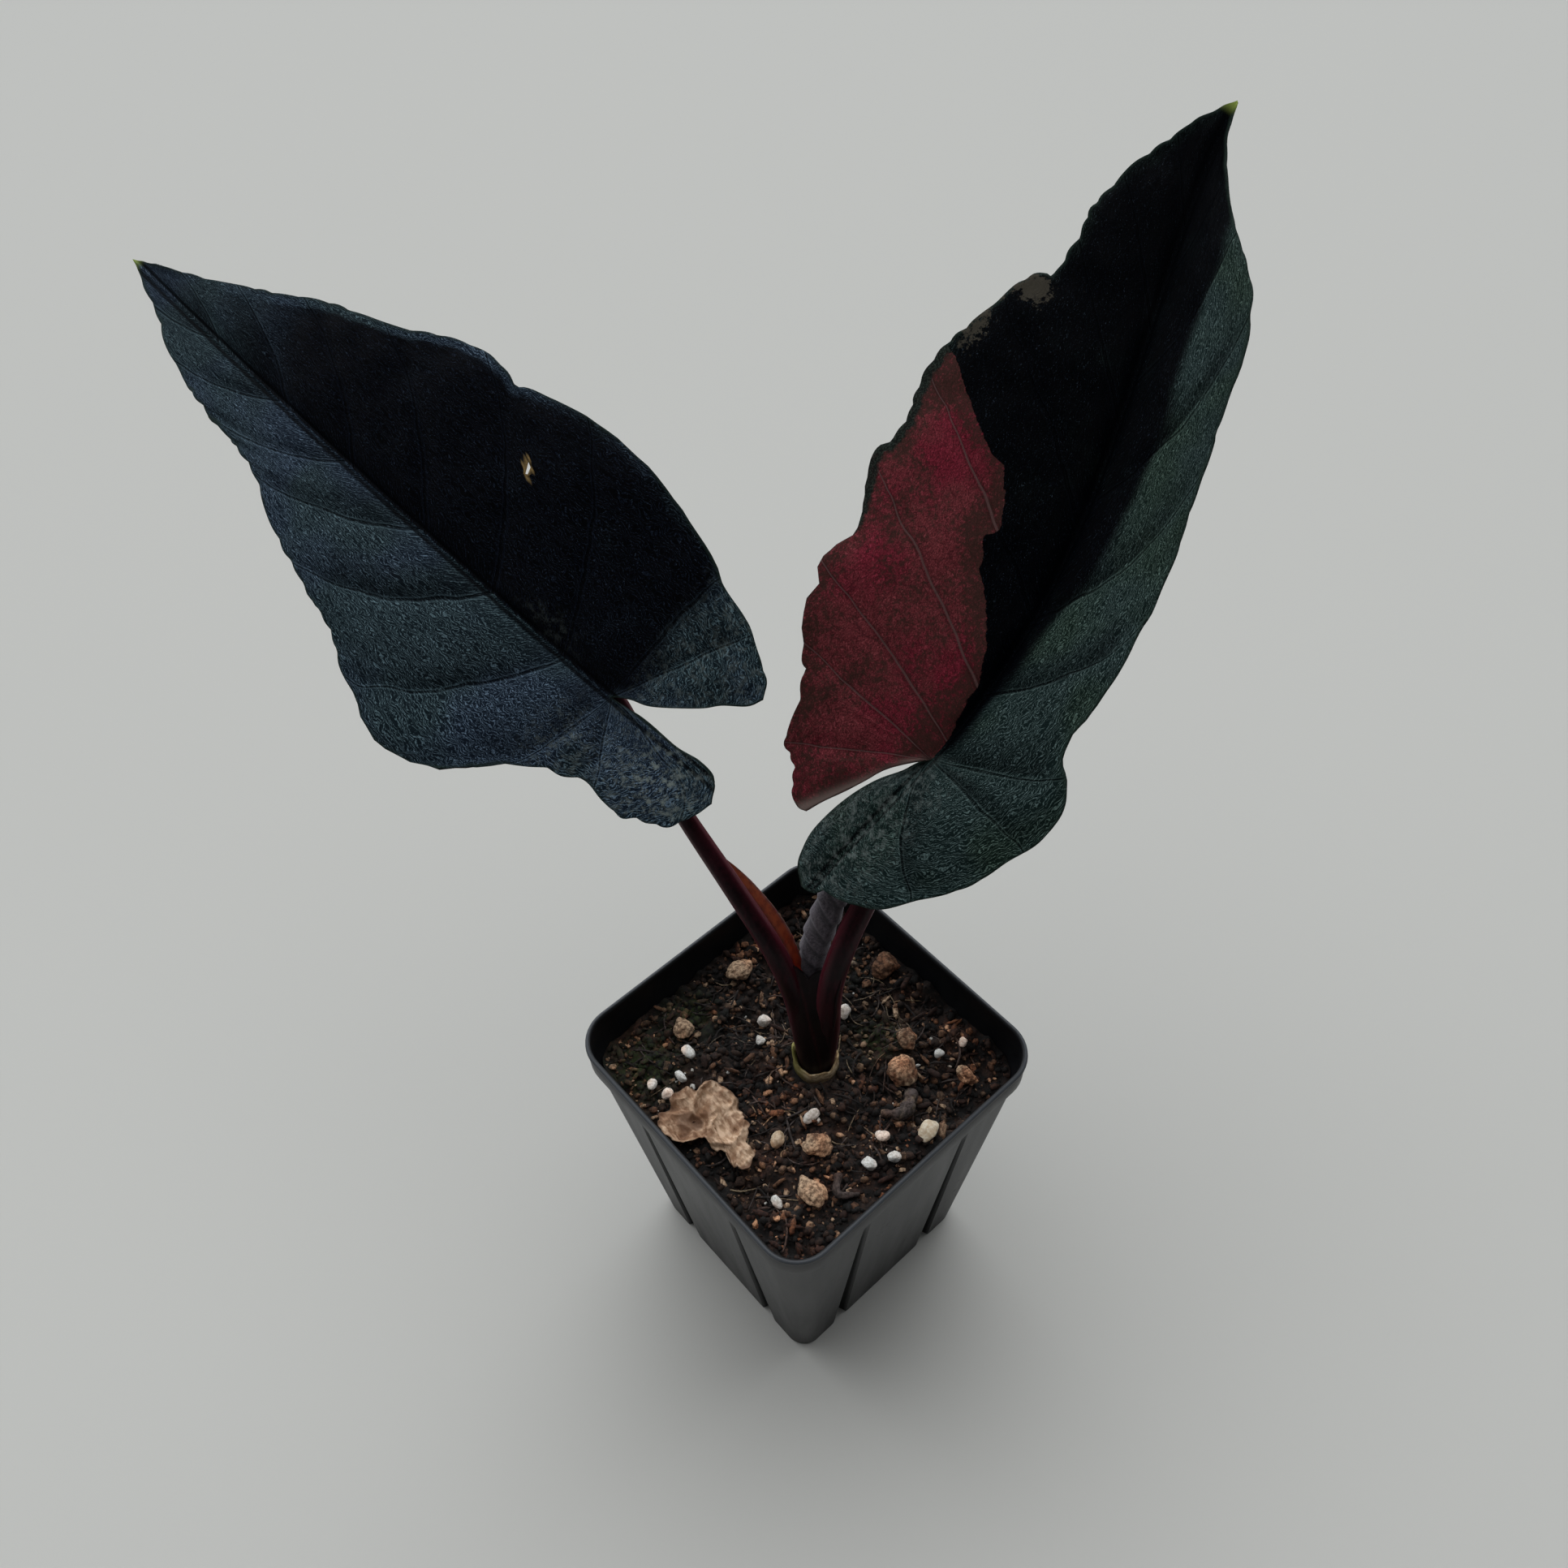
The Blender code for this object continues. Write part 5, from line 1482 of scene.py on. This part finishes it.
def make_camera():
    lens = bpy.data.cameras.new("Camera")
    lens.lens = CAMERA_LENS
    lens.sensor_width = CAMERA_SENSOR
    lens.clip_start = CAMERA_NEAR
    camera = add_object("Camera", lens)
    stand(camera, CAMERA_PLACE, camera_axes())
    bpy.context.scene.camera = camera


def make_floor():
    r = FLOOR_REACH
    mesh = bpy.data.meshes.new("Floor")
    mesh.from_pydata([(-r, -r, 0), (r, -r, 0), (r, r, 0), (-r, r, 0)], [], [(0, 1, 2, 3)])
    floor = add_object("Floor", mesh)
    mesh.materials.append(new_finish("Pale floor", lambda n: (FLOOR_COLOUR, 0.9, None)))


def make_light(name, place, size, power, colour):
    """Square area light aimed at the middle of the plant."""
    lamp = bpy.data.lights.new(name, "AREA")
    lamp.size = size
    lamp.energy = power
    lamp.color = colour
    back = unit(np.array(place) - LIGHT_AIM)
    right = unit(np.cross((0, 0, 1), back))
    stand(add_object(name, lamp), place, (right, np.cross(back, right), back))


def make_lights():
    """A studio sky that is bright behind the plant and overhead, and dim from the camera's side."""
    world = bpy.data.worlds.new("Soft sky")
    world.use_nodes = True
    n = Nodes(world.node_tree)
    toward = unit(SKY_SIDE)
    coordinates = n.put("TexCoord", {})
    facing = n.put("VectorMath", {0: coordinates, 1: tuple(toward)}, out=1, operation="DOT_PRODUCT")
    sky = world.node_tree.nodes["Background"]
    n.feed(sky.inputs["Strength"], n.fade(facing, *SKY_SPREAD, *SKY_STRENGTH))
    sky.inputs["Color"].default_value = (*SKY_COLOUR, 1)
    bpy.context.scene.world = world
    make_light("Top light", (0.1, 0.35, 2.2), 1.8, TOP_POWER, (1.0, 0.99, 0.97))
    bpy.context.scene.view_settings.view_transform = "Standard"


def main():
    make_camera()
    make_floor()
    make_lights()

    under = under_finish()
    maroon = fleshy_finish("Maroon stalk", *MAROON_TONES)
    near_black = fleshy_finish("Sheath base", *SHEATH_TONES, 0.45)
    slate = blade_finish("Slate green blade", SLATE_VALLEYS, SLATE_RIDGES, 0.045, sector=False)
    make_blade("left_leaf_blade", LEFT_BLADE, [slate, under], left_tones, ["left_blade"])
    green = blade_finish("Green and pink blade", GREEN_VALLEYS, GREEN_RIDGES, 0.018, sector=True)
    make_blade("right_leaf_blade", RIGHT_BLADE, [green, under], right_tones, ["right_blade"])
    make_stalk("left_leaf_stalk", LEFT_STALK, LEFT_BLADE, maroon, ["left_stalk"])
    make_stalk("right_leaf_stalk", RIGHT_STALK, RIGHT_BLADE, maroon, ["right_stalk"])
    make_furled_leaf(felt_finish())
    membrane = membrane_finish()
    make_wing("left_stalk_wing", LEFT_STALK, 131, 168, (0.9, -0.15), 4.2, 0.05, membrane, ["left_sheath"])
    make_wing("right_stalk_wing", RIGHT_STALK, 118, 146, (-0.35, -0.94), 1.6, 0.1, near_black,
              ["right_sheath"])
    make_sheath_base(near_black)
    make_old_sheath(dry_finish("Old sheath", *OLD_SHEATH_TONES))

    make_pot(plastic_finish())
    earth = crumb_finish("Bark and peat mix", EARTH_TONES)
    bark = crumb_finish("Bark", BARK_TONES)
    white = crumb_finish("Perlite", PERLITE_TONES, 0.85, 0.2, 1500.0, PERLITE_PORES)
    kernel = crumb_finish("Seed", SEED_TONES, 0.4, 0.08, 900.0, SEED_PORES)
    twig = crumb_finish("Dry twig", TWIG_TONES)
    make_mix(earth)
    chunky = ((0.5, 0.95), (0.45, 0.85))
    flaky = ((0.5, 0.9), (0.2, 0.5))
    slim = ((0.2, 0.4), (0.15, 0.3))
    make_crumbs("dark_crumbs", 2900, (0.8, 3.6), chunky, 0.35, (0.0, 0.85), 1, earth)
    make_crumbs("bark_bits", 900, (0.7, 3.4), flaky, 0.3, (0.0, 0.95), 2, bark, lift=0.4)
    make_crumbs("bark_slivers", 260, (2.5, 7.0), slim, 0.2, (-0.2, 0.9), 6, bark, lift=0.9)
    make_crumbs("tan_bits", 340, (0.7, 3.0), flaky, 0.3, (0.7, 1.1), 7, bark, lift=0.5)
    make_crumbs("perlite_bits", 60, (0.5, 1.5), chunky, 0.2, (0.2, 1.0), 3, white, lift=0.45)
    make_crumbs("perlite_crumbs", 8, (1.6, 2.6), chunky, 0.2, (0.5, 1.0), 8, white,
                PERLITE_SPOTS, 0.5)
    make_fibres("pale_fibres", 70, (4, 12), (0.1, 0.22), (0.45, 0.95), 4, twig)
    make_fibres("dark_fibres", 160, (4, 12), (0.15, 0.35), (0.0, 0.5), 5, twig)
    for number in range(1, 15):
        make_lump(f"perlite_{number:02d}", white, 0.16, number, 0.8, planes=16, sharp=6)
    for number in range(1, 9):
        shade = (1.0, 0.8, 0.62, 0.9)[number % 4]
        make_lump(f"bark_chip_{number:02d}", bark, 0.3, 40 + number, shade, planes=8, sharp=14)
    make_lump("pale_seed", kernel, 0.08, 70, 0.9, planes=20, sharp=5)
    make_lump("ring_grain", kernel, 0.15, 71, 0.5, planes=20, sharp=5)
    for node, (shade, route) in TWIGS.items():
        make_twig(node, shade, route, twig)
    make_dried_leaf(dry_finish("Dead leaf", *DEAD_LEAF_TONES))
    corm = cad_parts["corm"]
    corm.material_slots[0].material = dry_finish("Root skin", *ROOT_TONES)


main()
